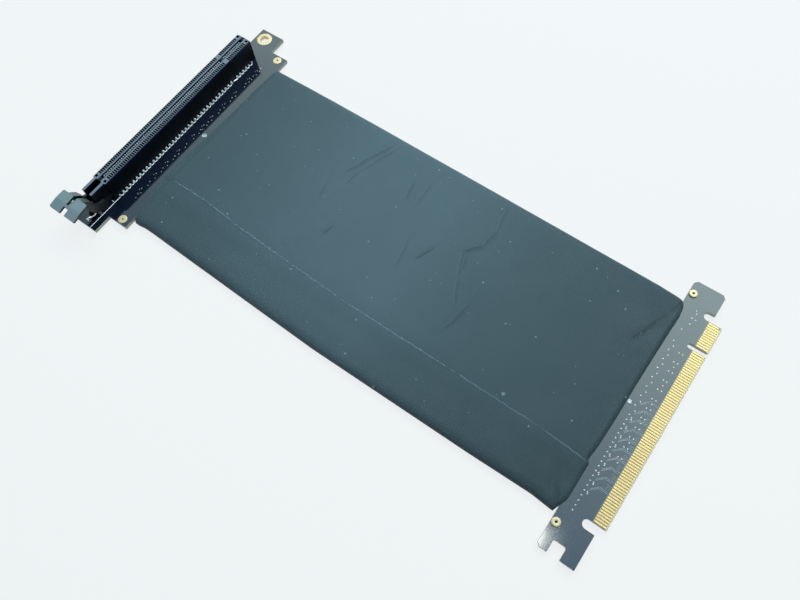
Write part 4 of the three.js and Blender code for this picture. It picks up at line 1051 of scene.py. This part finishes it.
def add_light_panel(settings):
    """A glowing sheet over the table. The boards mirror its gradient, from blue and dim to white."""
    material, shading, shader, position = new_material("light_panel")
    axes = shading.node("ShaderNodeSeparateXYZ")
    shading.feed(axes.inputs[0], position)
    far = shading.ramp(axes.outputs["Y"], settings.near_edge + 0.1, settings.near_edge + 0.7)
    cloud = shading.ramp(shading.noise(position, 5.0, 3.0), 0.35, 0.65, 0.0, 0.16)
    tone = shading.mix(far, (*settings.near_light, 1), (*settings.far_light, 1))
    tone = shading.mix(cloud, tone, (0.1, 0.13, 0.16, 1))
    toward_socket = shading.ramp(axes.outputs["X"], 0.0, -0.6, 0.0, 0.6)
    tone = shading.mix(toward_socket, tone, (0.05, 0.075, 0.085, 1))
    window = shading.between(axes.outputs["X"], 0.122, 0.152)
    window = shading.math("MULTIPLY", window, shading.between(axes.outputs["Y"], 0.005, 0.058))
    tone = shading.mix(window, tone, (4.0, 4.1, 3.9, 1))
    shading.feed(shader.inputs["Emission Color"], tone)
    shader.inputs["Emission Strength"].default_value = settings.panel_strength
    shader.inputs["Base Color"].default_value = (0, 0, 0, 1)
    bm = bmesh.new()
    middle = ((PANEL_LEFT + PANEL_RIGHT) / 2, settings.near_edge + PANEL_DEPTH / 2, settings.panel_height)
    reach = (PANEL_RIGHT - PANEL_LEFT, -PANEL_DEPTH, 1, 1)
    bmesh.ops.create_grid(bm, size=0.5, matrix=Matrix.Translation(middle) @ Matrix.Diagonal(reach))
    mesh = bpy.data.meshes.new("light_panel")
    bm.to_mesh(mesh)
    bm.free()
    mesh.materials.append(material)
    panel = bpy.data.objects.new("light_panel", mesh)
    panel.visible_camera = False
    bpy.context.scene.collection.objects.link(panel)


class RISER_OT_stage(bpy.types.Operator):
    """Set the pale floor, the soft light and the camera"""

    bl_idname = "riser.stage"
    bl_label = "Stage"

    def execute(self, context):
        scene = context.scene
        settings = scene.riser_stage
        bm = bmesh.new()
        bmesh.ops.create_grid(bm, x_segments=1, y_segments=1, size=3.0)
        mesh = bpy.data.meshes.new("floor")
        bm.to_mesh(mesh)
        bm.free()
        floor = bpy.data.objects.new("floor", mesh)
        scene.collection.objects.link(floor)
        material, shading, shader, position = new_material("floor_paper")
        cloud = shading.noise(position, 2.2, 2.0)
        lit, glow = ((*colour, 1) for colour in (settings.floor, settings.floor_glow))
        shading.feed(shader.inputs["Base Color"], shading.mix(cloud, lit, (*[0.97 * c for c in settings.floor], 1)))
        shader.inputs["Emission Color"].default_value = glow
        shader.inputs["Emission Strength"].default_value = 1.0
        shader.inputs["Roughness"].default_value = 0.9
        shader.inputs["Specular IOR Level"].default_value = 0.1
        mesh.materials.append(material)
        camera_data = bpy.data.cameras.new("camera")
        camera_data.lens = settings.lens
        camera_data.sensor_width = 36
        camera_data.sensor_fit = "HORIZONTAL"
        camera_data.clip_start = 0.01
        camera = bpy.data.objects.new("camera", camera_data)
        turn = Matrix((CAMERA_RIGHT, -CAMERA_DOWN, -CAMERA_FORWARD)).transposed().to_4x4()
        camera.matrix_world = Matrix.Translation(CAMERA_PLACE) @ turn
        scene.collection.objects.link(camera)
        scene.camera = camera
        world = bpy.data.worlds.new("even light")
        world.use_nodes = True
        background = world.node_tree.nodes["Background"]
        background.inputs["Color"].default_value = (0.9, 0.97, 1.0, 1)
        background.inputs["Strength"].default_value = settings.sky
        scene.world = world
        add_light_panel(settings)
        scene.view_settings.view_transform = "Standard"
        return {"FINISHED"}


class RISER_PT_panel(bpy.types.Panel):
    """Lists the pieces of the riser cable"""

    bl_label = "Riser Cable"
    bl_idname = "RISER_PT_panel"
    bl_space_type = "VIEW_3D"
    bl_region_type = "UI"
    bl_category = "Riser"

    def draw(self, context):
        for operator in OPERATORS:
            self.layout.operator(operator.bl_idname)


OPERATORS = [
    RISER_OT_stage,
    RISER_OT_sleeve,
    RISER_OT_mouldings,
    RISER_OT_rings,
    RISER_OT_solder,
    RISER_OT_print,
    RISER_OT_vias,
    RISER_OT_tracks,
    RISER_OT_lint,
]
CLASSES = [SleeveSizes, FinishColours, StageSettings, *OPERATORS, RISER_PT_panel]


def register():
    for cls in CLASSES:
        bpy.utils.register_class(cls)
    bpy.types.Scene.riser_sleeve = PointerProperty(type=SleeveSizes)
    bpy.types.Scene.riser_colours = PointerProperty(type=FinishColours)
    bpy.types.Scene.riser_stage = PointerProperty(type=StageSettings)


def unregister():
    del bpy.types.Scene.riser_stage
    del bpy.types.Scene.riser_colours
    del bpy.types.Scene.riser_sleeve
    for cls in reversed(CLASSES):
        bpy.utils.unregister_class(cls)


def main():
    register()
    make_finishes(bpy.context.scene.riser_colours)
    bpy.ops.riser.stage()
    bpy.ops.riser.sleeve()
    bpy.ops.riser.mouldings()
    bpy.ops.riser.rings()
    bpy.ops.riser.solder()
    bpy.ops.riser.print()
    bpy.ops.riser.vias()
    bpy.ops.riser.tracks()
    bpy.ops.riser.lint()


if __name__ == "__main__":
    main()
